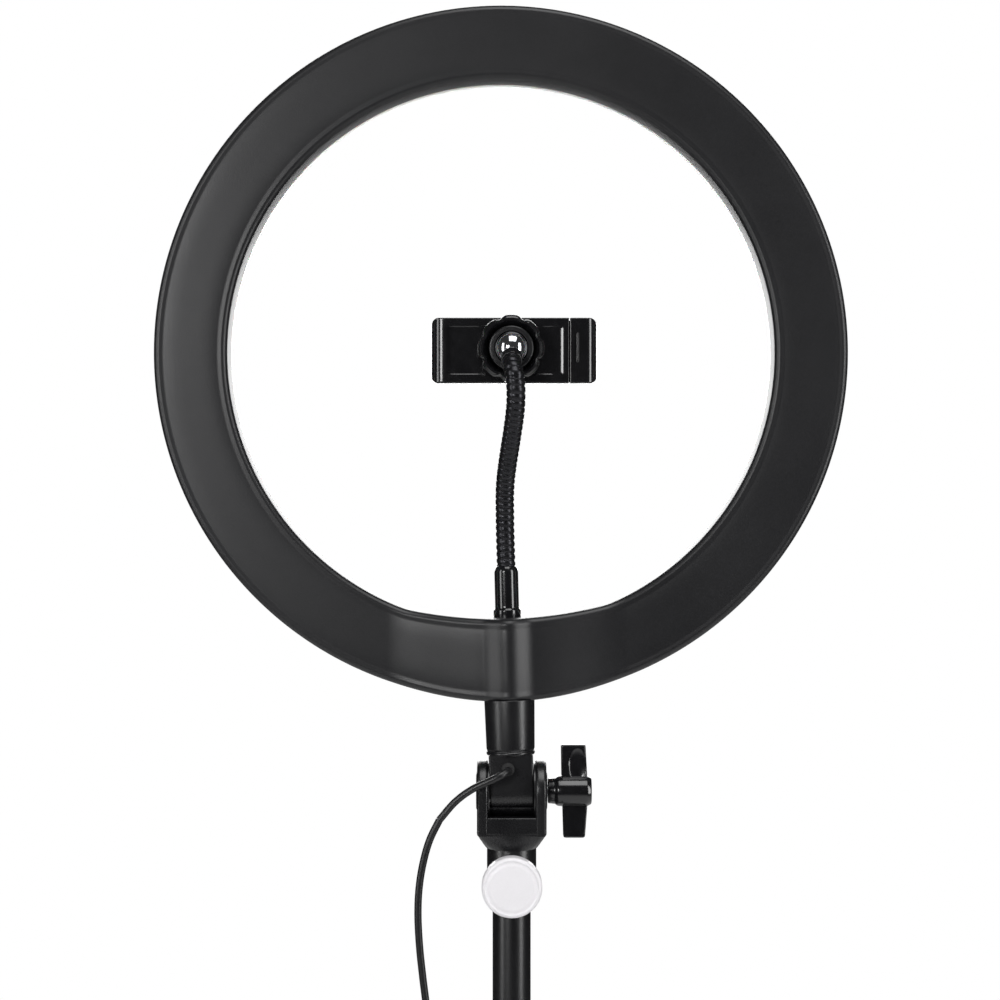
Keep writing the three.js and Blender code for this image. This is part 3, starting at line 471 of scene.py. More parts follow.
def coil_path(turns):
    """The lead wound round the coil's middle: turn k lies in the k-th place of a close-packed bundle,
    and moves on to the next place over the last fifth of each turn."""
    ring = np.radians([330, 270, 210, 150, 0, 30, 90])
    reach = STRAND_GAP * np.array([1, 1, 1, 1, 0, 1, 1])
    places = np.stack((reach * np.cos(ring), reach * np.sin(ring)), 1)
    t = np.arange(0, turns, 1 / 90)
    index = np.minimum(t.astype(int), len(places) - 1)
    following = np.minimum(index + 1, len(places) - 1)
    step = np.clip((t - index - 0.8) / 0.2, 0, 1)
    step = (step * step * (3 - 2 * step))[:, None]
    offset = places[index] * (1 - step) + places[following] * step
    angle = math.radians(100) + t * TURN
    radius = COIL_RADIUS + offset[:, 0]
    return np.stack((COIL[0] + radius * np.cos(angle), COIL[1] + radius * np.sin(angle),
        COIL[2] + offset[:, 1]), 1)


def cord_piece(name, path, place, nodes, exit, body=None, blend=None, with_pieces=()):
    """A lead of the cord's diameter along a path. It rides on a body, or, where blend is given, its mesh is
    baked into the floor's frame and rides on none."""
    line = place(path)
    obj = skin(name, [carried(line, CORD / 2, 14)], lambda p: p, "pvc")
    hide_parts(*nodes)
    if blend:
        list(blend[:2])
        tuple(blend[2])
        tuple(blend[3])
        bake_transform(obj)
    else:
        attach(obj, body)
    length = float(np.linalg.norm(np.diff(line, axis=0), axis=1).sum()) * MM
    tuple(exit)
    return obj


def usb_plug():
    """The plug's grip and its steel mouth, lying beside the coil."""
    x, y = COIL[0] - 4, -118.9
    ribs = lambda a, b: 0.35 * (np.sin((a - x) * 1.9) > 0.2) * (a < x + 6) * (abs(b - y) < 5.5)
    grip = slab(rounded_box(x - 15, x + 15, y - 8, y + 8, 4), 0.05, 8, 2.2, "z", rings=10, sink_high=ribs)
    nose = turned(soften([[0, x - 19], [2.4, x - 19], [3.4, x - 14], [0, x - 14]], 0.5), "x", (0, y, 4), 32)
    handle = piece("plug_grip", [grip, nose], in_column, "rubber", "top_section", "usb_plug")
    wall = rounded_box(-6, 6, -2.25, 2.25, 0.5, 3, 4)
    mouth = band(wall, wall * [0.93, 0.82], [(1, 0, x + 14), (1, 0, x + 27.2), (0, 0, x + 27.2),
        (0, 0, x + 14)], "x")
    bar = slab(rounded_box(-5.4, 5.4, -1.6, 0.1, 0.2, 2, 4), x + 14, x + 26.6, 0.2, "x")
    steel = piece("plug_mouth", [moved(mouth, (0, y, 4))], in_column, "zinc", "top_section", "usb_shell")
    inside = piece("plug_tongue", [moved(bar, (0, y, 4))], in_column, "opal", "top_section",
        slot="white_plastic")
    return handle, steel, inside


def coil_tie():
    """A flat strap round the coil's bundle: a band whose hoop is an ellipse that is flat where it lies
    on the floor."""
    a = np.linspace(0, TURN, 64, endpoint=False)
    r = np.array([6.0, 6.0, 6.9, 6.9])[:, None]
    floor = np.array([0.15, 0.15, 0.02, 0.02])[:, None]
    wide = np.array([-4.0, 4.0, 4.0, -4.0])[:, None]
    radial, up = r * np.cos(a), np.maximum(COIL[2] + r * 0.93 * np.sin(a), floor)
    angle = math.radians(20)
    along = np.broadcast_to(wide, radial.shape)
    x = COIL[0] + (COIL_RADIUS + radial) * math.cos(angle) - along * math.sin(angle)
    y = COIL[1] + (COIL_RADIUS + radial) * math.sin(angle) + along * math.cos(angle)
    grid = np.stack((x, y, up), -1)
    return piece("coil_tie", [(grid, True)], in_column, "strap", "top_section")


def make_cords():
    """The lead in three lengths: off the head, down to the controller, and on to the coil and the plug."""
    place = lambda points: tuple(in_bracket(np.array(points, float)) * MM)
    tail = spline(TAIL, 1.2)
    cord_piece(
        "lead_tail", tail, in_bracket, ["cable_tail"], place(TAIL[0]),
        blend=("bracket", "ring_head", place(TAIL[-1]), place(TAIL[1])),
    )
    hang = spline(HANG, 1.6)
    cord_piece(
        "lead_upper", hang, in_bracket, ["ring_cable"], place(HANG[0]),
        blend=("bracket", "top_section", place(HANG[0]), place(HANG[-3])),
    )
    wound = coil_path(6.93)
    way = np.vstack((spline(np.vstack((DROP, wound[:2])), 1.6)[:-2], wound,
        spline(np.vstack((wound[-1:], LEAVE)), 1.6)[1:]))
    way[:, 2] = np.maximum(way[:, 2], CORD / 2)
    cord_piece(
        "lead_lower", even(way, 1.5), in_column, ["usb_cable", "cord_coil"],
        tuple(in_column(np.array(DROP[0], float)) * MM), "top_section",
        with_pieces=[*usb_plug(), coil_tie()],
    )


# ---- Lamp head ----


def opening(angle):
    """The opening's radius: its circle, or where the ray at that angle meets the bowed foot, whichever
    is nearer."""
    s = np.maximum(-np.sin(angle), 1e-3)
    k = 5 * np.cos(angle) ** 2 / 47.5**2
    foot = 2 * 126 / (s + np.sqrt(s * s + 4 * 126 * k))
    foot = np.where(np.sin(angle) < -0.2, foot, 400.0)
    return 100 - 0.25 * np.log(np.exp(-(130 - 100) / 0.25) + np.exp(-(np.minimum(foot, 160) - 100) / 0.25))


def swelling(x, z, sizes):
    """How far the cover stands out over the neck: a raised cosine across the foot of the ring, with a
    narrow rib on it."""
    rise = np.clip((-z - 96) / 26, 0, 1)
    rise = rise * rise * (3 - 2 * rise)
    wide = np.cos(math.pi / 2 * np.clip(x / 57, -1, 1)) ** 1.7
    rib = np.cos(math.pi / 2 * np.clip(x / 12.5, -1, 1)) ** 2
    return rise * (sizes.bulge / MM * wide + sizes.rib / MM * rib)


def hoop(section, sizes, count=560):
    """The ring's section (share from opening to rim, extra radius, y, share of the swelling) carried
    round it. The stations crowd together at the foot, where the rib is."""
    t = np.linspace(-1, 1, count, endpoint=False)
    angle = -math.pi / 2 + math.pi * (0.22 * t + 0.78 * t**3)
    hole = opening(angle)
    w, d, y, follow = (np.array(column, float)[:, None] for column in zip(*section))
    r = hole * (1 - w) + sizes.radius / MM * w + d
    x, z = r * np.cos(angle), r * np.sin(angle)
    return np.stack((x, y - follow * swelling(x, z, sizes), z), -1), True


def make_lamp(sizes):
    """The rear cover, a moulded shell 2 mm thick, and the opal lens that closes it."""
    edge, back = 3.0, -12.0
    a = np.linspace(0, math.pi / 2, 7)
    inner_edge = [(0, edge * (1 - math.sin(v)), back + edge * (1 - math.cos(v)), 1) for v in a[::-1]]
    face = [(w, edge * (1 - 2 * w), back + 0.5 * (2 * w - 1) ** 4, 1) for w in np.linspace(0, 1, 29)[1:-1]]
    outer_edge = [(1, -edge * (1 - math.sin(v)), back + edge * (1 - math.cos(v)), 1) for v in a]
    wall = [(1, 0, 4.1, 0), (1, -0.5, 4.5, 0), (1, -0.5, 5, 0), (1, -2, 5, 0), (1, -2, -8.5, 1),
        (1, -3.5, -10, 1)]
    floor = [(w, 3.5 * (1 - 2 * w), -10, 1) for w in np.linspace(1, 0, 16)[1:]]
    rest = [(0, 2, -8.5, 1), (0, 2, 5, 0), (0, 0.5, 5, 0), (0, 0.5, 4.5, 0), (0, 0, 4.1, 0)]
    cover = hoop(inner_edge + face + outer_edge + wall + floor + rest, sizes)
    piece("cover_shell", [cover], in_ring, "cover", "ring_head", "rear_cover", sharp=40)
    lens_edge = 2.6
    lens = (
        [(0, 0, 5.3, 0), (0, 0, 12 - lens_edge, 0)]
        + [(0, lens_edge * (1 - math.cos(v)), 12 - lens_edge * (1 - math.sin(v)), 0) for v in a[1:]]
        + [(w, lens_edge * (1 - 2 * w), 12, 0) for w in (0.25, 0.5, 0.75)]
        + [(1, -lens_edge * (1 - math.cos(v)), 12 - lens_edge * (1 - math.sin(v)), 0) for v in a[::-1]]
        + [(1, 0, 5.3, 0), (1, -2, 5.3, 0), (1, -2, 9, 0), (0.5, 0, 10, 0), (0, 2, 9, 0), (0, 2, 5.3, 0)]
    )
    piece("lens", [hoop(lens, sizes, 360)], in_ring, "opal", "ring_head", "diffuser", sharp=50)
    paint("led_board", "board")
    paint("gooseneck_insert", "brass")


def paint(name, finish):
    """Gives a carried-over node its finish."""
    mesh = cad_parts[name].data
    mesh.materials.clear()
    mesh.materials.append(FINISHES[finish])


def make_neck():
    """The neck: a turned tube with a bead at its foot, the flat tongue that tilts in the fork, and the
    lead's sleeve."""
    tube = turned(
        soften([[0, 17.1], [10.7, 17.1], [11.4, 17.6], [11.45, 18.7], [10.95, 19.3], [11.4, 20.1],
            [11.9, 43.6], [0, 43.6]], 0.5),
        sides=96,
    )
    a = np.linspace(math.pi, TURN, 40)
    under = np.stack((10.2 * np.cos(a), 10.2 * np.sin(a)), 1)
    flank = np.linspace(0, 18.1, 12)[1:]
    right = np.stack((np.full(11, 10.2), flank), 1)
    top = np.stack((np.linspace(10.2, -10.2, 14)[1:-1], np.full(12, 18.1)), 1)
    outline = np.vstack((under, right, top, right[::-1] * [-1, 1]))
    tongue = slab(outline, -10.4, 10.4, 0.9, "x")
    piece("neck_tube", [tube, tongue], in_head, "nylon", "ring_head", "neck")
    ribs = [[0, -9.4], [3.05, -9.4], [3.05, -10.6]]
    for k in range(4):
        y = -10.6 - k * 0.95
        ribs += [[3.0 - 0.14 * k, y - 0.15], [2.3 - 0.08 * k, y - 0.35], [2.3 - 0.08 * k, y - 0.65],
            [2.9 - 0.16 * k, y - 0.85]]
    ribs += [[2.3, -14.7], [0, -14.7]]
    sleeve = turned(soften(ribs, 0.15, 2), "y", (-1.5, 0, 11.4), 40)
    piece("lead_sleeve", [sleeve], in_head, "rubber", "ring_head", "strain_relief")


# ---- Tilt bracket ----


def make_bracket():
    """The fork: two round-topped cheeks, a web that narrows to the socket, and the socket with its
    screw boss."""
    a = np.linspace(0, math.pi, 48)
    arch = np.stack((14.6 * np.cos(a), 14.6 * np.sin(a)), 1)
    down = np.linspace(0, 1, 14)[1:, None]
    left = np.array([[-14.6, 0]]) * (1 - down) + np.array([[-13.0, -19.6]]) * down
    right = np.array([[13.0, -19.6]]) * (1 - down[::-1]) + np.array([[14.6, 0]]) * down[::-1]
    foot = np.stack((np.linspace(-13, 13, 14)[1:-1], np.full(12, -19.6)), 1)
    outline = np.vstack((arch, left, foot, right[::-1]))
    boss = lambda p, q: -0.45 * (np.hypot(p, q) < 8.6)
    cheeks = [
        slab(outline, 11.06, 16.3, 1.5, "x", 24, sink_high=boss),
        slab(outline, -16.3, -11.06, 1.5, "x", 24, sink_low=boss),
    ]
    washers = [turned([[3.3, x], [13.4, x], [13.4, x + 0.7], [3.3, x + 0.7]], "x",
        closed=True) for x in (-11.15, 10.45)]
    web = slab(rounded_box(-16.2, 16.2, -20.2, -11.1, 1.6), -12.9, 12.9, 0.7, "y", 10)
    v = np.radians(np.linspace(-52, 52, 30))
    bed = np.vstack((10.75 * np.stack((np.sin(v), -np.cos(v)), 1),
        11.9 * np.stack((np.sin(v), -np.cos(v)), 1)[::-1]))
    saddle = slab(bed[::-1], -10.9, 10.9, 0.15, "x", 3, 2)
    box = rounded_box(-16.4, 16.4, -13.0, 13.0, 3.5, 10, 18)
    angle = np.arctan2(box[:, 1], box[:, 0])
    ring = 11.95 * np.stack((np.cos(angle), np.sin(angle)), 1)
    t = np.array([0, 0.08, 0.3, 0.6, 0.85, 1])[:, None, None]
    plan = box * (1 - t) + ring * t
    height = np.array([-18.4, -19.8, -22, -24.4, -26, -26.8])[:, None]
    plan = np.concatenate((plan[:1] * 0, plan[:1], plan, plan[-1:] * 0))
    height = np.concatenate(([height[0] + 0.01], [height[0]], height, [height[-1]]))
    cone = np.stack((plan[..., 0], plan[..., 1], np.broadcast_to(height, plan.shape[:2])), -1), False
    socket = turned(
        soften([[9.35, -25.5], [11.65, -25.5], [11.65, -50.8], [12.0, -51.2], [12.0, -53.3], [11.6, -53.8],
            [9.35, -53.8]],
               0.35, 3, True),
        sides=96, closed=True,
    )
    post = turned(soften([[0, -9.5], [6.4, -9.5], [6.0, -14.2], [5.6, -14.5], [0, -14.5]], 0.3), "y",
        (0, 0, -LOCK_DROP))
    piece("fork", [*cheeks, *washers, web, saddle, cone, socket, post], in_bracket, "nylon", "bracket",
        "tilt_clevis")
    bolt = soften([[0, -16.7], [3.6, -16.6], [4.9, -15.9], [5, -14], [2.9, -13.9], [2.9, 32], [0, 32]], 0.4)
    piece("pivot", [turned(bolt, "x", sides=48)], in_bracket, "zinc", "bracket", "pivot_bolt")

    def thumb(side):
        """An elliptical hollow for the thumb, on one wing of each face."""
        return lambda x, z: 0.95 * np.clip(1 - ((x - 31.1) / 4.2) ** 2 - ((z - side * 12) / 8) ** 2, 0,
            1) ** 0.55

    wing = np.array([
        [24.4, -22], [34.6, -22], [35.6, -9], [36.1, 0], [35.6, 9], [34.9, 22], [23.3, 22], [23.5, 8],
        [23.6, 0], [24, -8],
    ], float)
    wing = even(np.column_stack((soften(wing, 1.1, 5, True), np.zeros(60))), 0.55)[:, :2]
    wings = slab(wing, -2.6, 2.6, 0.8, "y", 34, sink_low=thumb(1), sink_high=thumb(-1))
    hub = turned(
        soften([[0, 17.1], [5.9, 17.1], [6.2, 20.6], [7.1, 21.6], [7.3, 24], [7.3, 35.6], [6.2, 37.7],
            [0, 37.8]], 0.6), "x"
    )
    piece("wing_knob", [wings, hub], in_bracket, "gloss", "tilt_knob", "tilt_knob")

    dial = circle(14, 144)
    cap = slab(dial, -26.5, -17.5, 1.5, "y", 24, 6,
               sink_low=lambda x, z: 0.3 * np.clip((np.hypot(x, z) - 10.6) / 0.5, 0,
                   1) * (np.hypot(x, z) < 12.4))
    stem = turned(soften([[0, -18], [5.9, -18], [5.9, -14.8], [0, -14.8]], 0.3), "y")
    lock = [moved(cap, (0, 0, -LOCK_DROP)), moved(stem, (0, 0, -LOCK_DROP))]
    piece("lock_dial", lock, in_bracket, "white", "lock_knob", "lock_knob")
    paint("lock_screw", "zinc")


# ---- Gooseneck and phone clamp ----


def make_gooseneck(sizes):
    """The ferrule, the wound tube in three lengths, each curved round one of its joints and baked into the
    floor's frame, and the chromed ball on its stem. The tube's radius sinks in a narrow groove that runs
    round it as a screw thread does."""
    ferrule = turned(
        soften([[0, -127], [6.5, -127], [6.5, -122.6], [5.9, -121.9], [5.7, -121], [5.7, -104],
            [5.2, -102.6], [4.6, -101.6],
                [0, -101.6]], 0.5),
        centre=(0, -2, 0), sides=64,
    )
    piece("ferrule", [ferrule], in_ring, "gloss", "ring_head", "gooseneck_ferrule")
    tip, ahead = np.array([4.9, -36.0, -6.0]), np.array([0, 0.8645, 0.5026])
    line = spline(
        [[0, -2, -103], [0, -2, -97], [0, -4.5, -80], [0.6, -12, -62], [6.3, -40, -24.7], [6, -42.5, -12.5],
         tip - 4 * ahead, tip - 0.1 * ahead], 0.35,
    )
    run = np.arange(len(line)) * np.linalg.norm(line[1] - line[0])
    pivots = [[0, -2, -97], [0.6, -12, -62], [6.3, -40, -24.7]]
    at = [int(np.argmin(np.linalg.norm(line - p, axis=1))) for p in pivots]
    cuts = [0, (at[0] + at[1]) // 2, (at[1] + at[2]) // 2, len(line) - 1]
    a = np.linspace(0, TURN, 28, endpoint=False)
    wave = (0.5 + 0.5 * np.cos(TURN * run[:, None] * MM / sizes.pitch + a)) ** 3
    radius = 4.5 - 0.42 * wave
    whole, _ = carried(line, radius, 28)
    rings = whole[1:-1]
    bodies = ["ring_head", "gooseneck_lower", "gooseneck_middle", "gooseneck_upper"]
    for k in range(3):
        part, ends = rings[cuts[k] : cuts[k + 1] + 1], (line[cuts[k]], line[cuts[k + 1]])
        caps = [np.broadcast_to(p, (1, 28, 3)) for p in ends]
        sleeve = skin(
            f"goose_{bodies[k + 1][10:]}", [(np.concatenate((caps[0], part, caps[1])), False)], in_ring,
            "wound", 60,
        )
        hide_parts(bodies[k + 1])
        reach = min(at[k] - cuts[k], cuts[k + 1] - at[k], 60) - 2
        first, last = (max(at[k] - reach, 0), at[k] + max(reach, 34)) if k == 0 else (at[k] - reach,
            at[k] + reach)
        span = [tuple(in_ring(line[i]) * MM) for i in (first, last)]
        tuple(span[0])
        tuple(span[1])
        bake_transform(sleeve)
    arc = np.radians(np.linspace(-62, 90, 28))
    ball = np.vstack(([[0, 4]], [[3.75, 4]], np.stack((8 * np.cos(arc), 14 + 8 * np.sin(arc)), 1)))
    stem = soften([[0, 0], [4.9, 0], [5.0, 4.8], [4.5, 5.9], [3.8, 6.2], [3.8, 5], [0, 5]], 0.4)
    along = lambda profile: moved(spun(turned(profile, "y", sides=80), "x", math.atan2(0.5026, 0.8645)),
        tip)
    piece("ball", [along(ball)], in_ring, "chrome", "gooseneck_upper", "ball_stud")
    piece("ball_stem", [along(stem)], in_ring, "gloss", "gooseneck_upper")


def make_clamp(sizes):
    """The socket, its scalloped nut, and the phone clamp: a plate whose ends are rounded over, with two
    padded fingers."""
    arc = np.radians(np.linspace(90, -15.4, 24))
    cup = np.stack((8.3 * np.cos(arc), 8.3 * np.sin(arc)), 1)
    outside = soften([[8.2, -2.2], [10, -2.2], [10.5, -1.6], [10.5, 11], [13.75, 11.3], [13.75, 14.3],
        [0, 14.3]], 0.3)
    socket = turned(np.vstack((cup, outside)), "y", sides=80)
    piece("cup", [socket], in_holder, "nylon", "ball_socket", "ball_socket")

    outer = lobed(15.75, 8, 1.3, 4, 320)
    inner = circle(10.8, 320)
    section = [
        (1, -0.9, 11), (1, -0.3, 10.8), (1, 0, 10), (1, 0, 0.9), (1, -0.25, 0.1), (1, -0.9, -0.6),
        (0.7, 0, -1), (0.5, 0, -0.9),
        (0.3, 0, 0.2), (0.08, 0, 1.8), (0, 0, 2.6), (0, 0, 11),
    ]
    piece("scalloped_nut", [band(outer, inner, section, "y")], in_holder, "gloss", "ball_nut", "ball_nut",
          sharp=28)

    def rolled(side, edge):
        """One end of the plate is rounded over with a 6 mm radius, seen from above."""
        def sink(x, z):
            near = np.clip(6 - side * (edge - x), 0, 6)
            return 6 - np.sqrt(36 - near**2)
        return sink

    def panelled(side, edge, left, right):
        """The rounded end together with a shallow panel set into the plate."""
        roll = rolled(side, edge)
        def sink(x, z):
            inset = np.minimum(np.minimum(x - left, right - x), 11.6 - abs(z))
            return roll(x, z) + 0.35 * np.clip(inset / 0.6, 0, 1)
        return sink

    plate = slab(rounded_box(-38.1, 27.6, -15.5, 15.5, 0.5, 8, 40, 3.4), 14.6, 23.6, 0.5, "y", 46,
                 sink_low=panelled(-1, -38.1, -30.2, 24.6))
    fixed = slab(rounded_box(-38.1, -33.1, -13.2, 13.2, 2, 6, 20), 19.6, 47.6, 1.4, "y", 8)
    lip = slab(rounded_box(-37.6, -31.4, -13, 13, 1.5, 6, 20), 44.6, 47.5, 1.2, "y", 6)
    piece("clamp_plate", [plate, fixed, lip], in_holder, "gloss", "clamp", "clamp_body")

    jaw = slab(rounded_box(27.9, 40.9, -15.5, 15.5, 3.4, 8, 30, 0.5), 14.6, 23.6, 0.5, "y", 24,
        sink_low=rolled(1, 40.9))
    rib = slab(rounded_box(31.0, 32.3, -6, 8.4, 0.6, 5, 14), 13.9, 16, 0.4, "y", 4)
    strip = slab(rounded_box(26.4, 30, -14.9, 14.9, 0.5, 3, 6), 23.7, 24.5, 0.2, "y", 2)
    sliding = slab(rounded_box(-6.1, 29.9, -9, 9, 1, 4, 20), 17.6, 20.6, 0.4, "y", 6)
    finger = slab(rounded_box(35.9, 40.9, -13.2, 13.2, 2, 6, 20), 19.6, 47.6, 1.4, "y", 8)
    hook = slab(rounded_box(34.2, 40.4, -13, 13, 1.5, 6, 20), 44.6, 47.5, 1.2, "y", 6)
    piece("jaw_slider", [jaw, rib, strip, sliding, finger, hook], in_holder, "gloss", "clamp_jaw",
        "clamp_jaw")

    ridges = lambda low: (lambda y, z: 0.3 * (0.5 + 0.5 * np.cos(TURN * (z - low) / sizes.ridge * MM)))
    pad = rounded_box(25, 43.6, -11.6, 11.6, 1.5, 6, 90)
    left = slab(pad, -33.3, -32.0, 0.4, "x", 6, sink_high=ridges(0))
    right = slab(pad, 34.8, 36.1, 0.4, "x", 6, sink_low=ridges(0))
    piece("pad_left", [left], in_holder, "rubber", "clamp")
    piece("pad_right", [right], in_holder, "rubber", "clamp_jaw")
    paint("clamp_spring", "zinc")


# ---- Column ----


def star(face, height, azimuth, reach=0.0):
    """A six-lobed knob with a dished face, whose axis points out from the column at an azimuth."""
    dished = lambda p, q: 0.9 * np.clip(1 - (np.hypot(p, q) / 7.4) ** 4, 0, 1)
    body = slab(lobed(12, 6, 2.2, 1.0, 192), face + 0.3, face + 11.3, 1.5, "x", 18, sink_high=dished)
    neck = turned(soften([[0, face - 2 + reach], [6, face - 2 + reach], [5.6, face + 1], [0, face + 1]],
        0.3), "x", sides=48)
    return [moved(spun(part, "z", math.radians(azimuth)), (0, 0, height)) for part in (body, neck)]


def lock_collar(tube, sliding, top, node_name, body, knob, screw):
    """A collar with a grip of shallow grooves, the boss for its knob, and the knob."""
    outside = tube + 4.2
    low, high, axis = top - 24, top + 18, top + 9
    steps = [[outside - 0.8, low], [outside, low + 0.8]]
    for k in range(4):
        z = low + 5 + k * 3
        steps += [[outside, z], [outside - 0.6, z + 0.5], [outside - 0.6, z + 1.1], [outside, z + 1.6]]
    steps += [[outside, high - 1.2], [outside - 1.2, high], [sliding + 0.3, high],
        [sliding + 0.3, top + 0.4],
              [tube + 0.1, top + 0.4], [tube + 0.1, low]]
    sleeve = turned(soften(steps, 0.35, 3, True), sides=96, closed=True)
    boss = turned(soften([[2.9, outside - 3.5], [7, outside - 3.5], [7, outside + 4.4], [6.4, outside + 5],
        [2.9, outside + 5]],
                         0.4, 3, True), "x", (0, 0, axis), 56, True)
    piece(node_name + "_skin", [sleeve, boss], in_column, "nylon", body, node_name)
    piece(knob + "_star", star(outside + 5, axis, 0, 1.4), in_column, "gloss", knob, knob)
    paint(screw, "zinc")


def make_column():
    """Three tubes, each with rolled ends, and the collars that lock them."""
    def pipe(radius, wall, low, high):
        return turned(soften([[radius - wall, low], [radius, low], [radius, high], [radius - wall, high]],
            0.35, 3, True),
                      sides=112, closed=True)

    plug = turned(soften([[0, 684], [8.9, 684], [8.9, 688.2], [0, 688.2]], 0.5), sides=48)
    piece("tube_top", [pipe(9, 0.8, 90, 685.4)], in_column, "tube", "top_section", "top_tube")
    piece("tube_plug", [plug], in_column, "nylon", "top_section", "top_plug")
    piece("tube_middle", [pipe(10.8, 0.9, 62, 532)], in_column, "tube", "middle_section", "middle_tube")
    piece("tube_outer", [pipe(12.5, 1, 46, 470)], in_column, "tube", "base", "outer_tube")
    lock_collar(10.8, 9, 532, "middle_collar", "middle_section", "middle_knob", "middle_screw")
    lock_collar(12.5, 10.8, 470, "outer_collar", "base", "outer_knob", "outer_screw")
    paint("top_bush", "nylon")
    paint("middle_bush", "nylon")


# ---- Tripod ----


def ear_plate(start, end, height, inner):
    """An ear whose free end is round about the pivot."""
    a = np.linspace(-math.pi / 2, math.pi / 2, 30)
    round_end = np.stack((PIVOT_RADIUS + 8 * np.cos(a), height + 8 * np.sin(a)), 1)
    top = np.stack((np.linspace(PIVOT_RADIUS, inner, 12)[1:], np.full(11, height + 8)), 1)
    back = np.stack((np.full(8, inner), np.linspace(height + 8, height - 8, 10)[1:-1]), 1)
    foot = np.stack((np.linspace(inner, PIVOT_RADIUS, 12)[:-1], np.full(11, height - 8)), 1)
    return slab(np.vstack((round_end, top, back, foot)), start, end, 0.9, "y", 6)


def spokes(make):
    return [spun(part, "z", math.radians(angle)) for angle in AZIMUTHS.values() for part in make()]


def make_crown_and_hub():
    """The crown that the legs hang from, its knob, and the lower hub that carries the braces."""
    def collar(outside, low, high, bottom=None):
        steps = [[12.8, low], [outside - 1.2, low], [outside, low + 1.2], [outside, low + 4],
            [outside - 0.7, low + 4.6],
                 [outside - 0.7, high - 4.6], [outside, high - 4], [outside, high - 1.2],
                 [outside - 1.2, high], [12.8, high]]
        return turned(soften(steps, 0.5, 3, True), sides=96, closed=True)

    crown = [collar(18.5, CROWN_HEIGHT - 20, CROWN_HEIGHT + 14)]
    crown += spokes(lambda: (ear_plate(4.3, 8.3, CROWN_HEIGHT, 15.5),
        ear_plate(-8.3, -4.3, CROWN_HEIGHT, 15.5)))
    boss = turned(soften([[2.9, 16], [7, 16], [7, 22.9], [6.4, 23.5], [2.9, 23.5]], 0.4, 3, True), "y",
                  (0, 0, CROWN_HEIGHT - 3), 56, True)
    piece("crown_skin", [*crown, boss], in_column, "nylon", "crown", "leg_crown")
    piece("crown_star", star(23.5, CROWN_HEIGHT - 3, 90, 1.4), in_column, "gloss", "crown_knob",
        "crown_knob")
    paint("crown_screw", "zinc")
    dome = soften([[0, 0], [3, 0.05], [4, 0.6], [4, 1.2], [2.4, 1.3], [2.4, 4], [0, 4]], 0.4, 3) - [0, 9.8]
    rivet = turned(dome, "y", (PIVOT_RADIUS, 0, CROWN_HEIGHT), 32)
    for side in AZIMUTHS:
        far = rivet[0] * [1, -1, 1], False
        shaft = turned([[0, -9], [2.4, -9], [2.4, 9], [0, 9]], "y", (PIVOT_RADIUS, 0, CROWN_HEIGHT), 32)
        piece("leg_rivet_" + side, [rivet, far, shaft], in_spoke(side), "zinc", "crown",
            "crown_rivet_" + side)

    floor = turned(soften([[0, 40], [15.8, 40], [17, 41.2], [17, 45], [0, 45]], 0.4), sides=96)
    hub = [collar(17, 44, 78), floor] + spokes(lambda: (ear_plate(3.3, 7.2, HUB_HEIGHT, 14),))
    piece("hub_skin", hub, in_column, "nylon", "base", "lower_hub")
    for side in AZIMUTHS:
        pin = turned(soften([[0, 5.6], [2.4, 5.6], [2.4, 10.9], [4, 11], [4, 11.6], [3, 12.05], [0, 12.1]],
            0.3), "y",
                     (PIVOT_RADIUS, 0, HUB_HEIGHT), 32)
        piece("hub_pin_" + side, [pin], in_spoke(side), "zinc", "base")


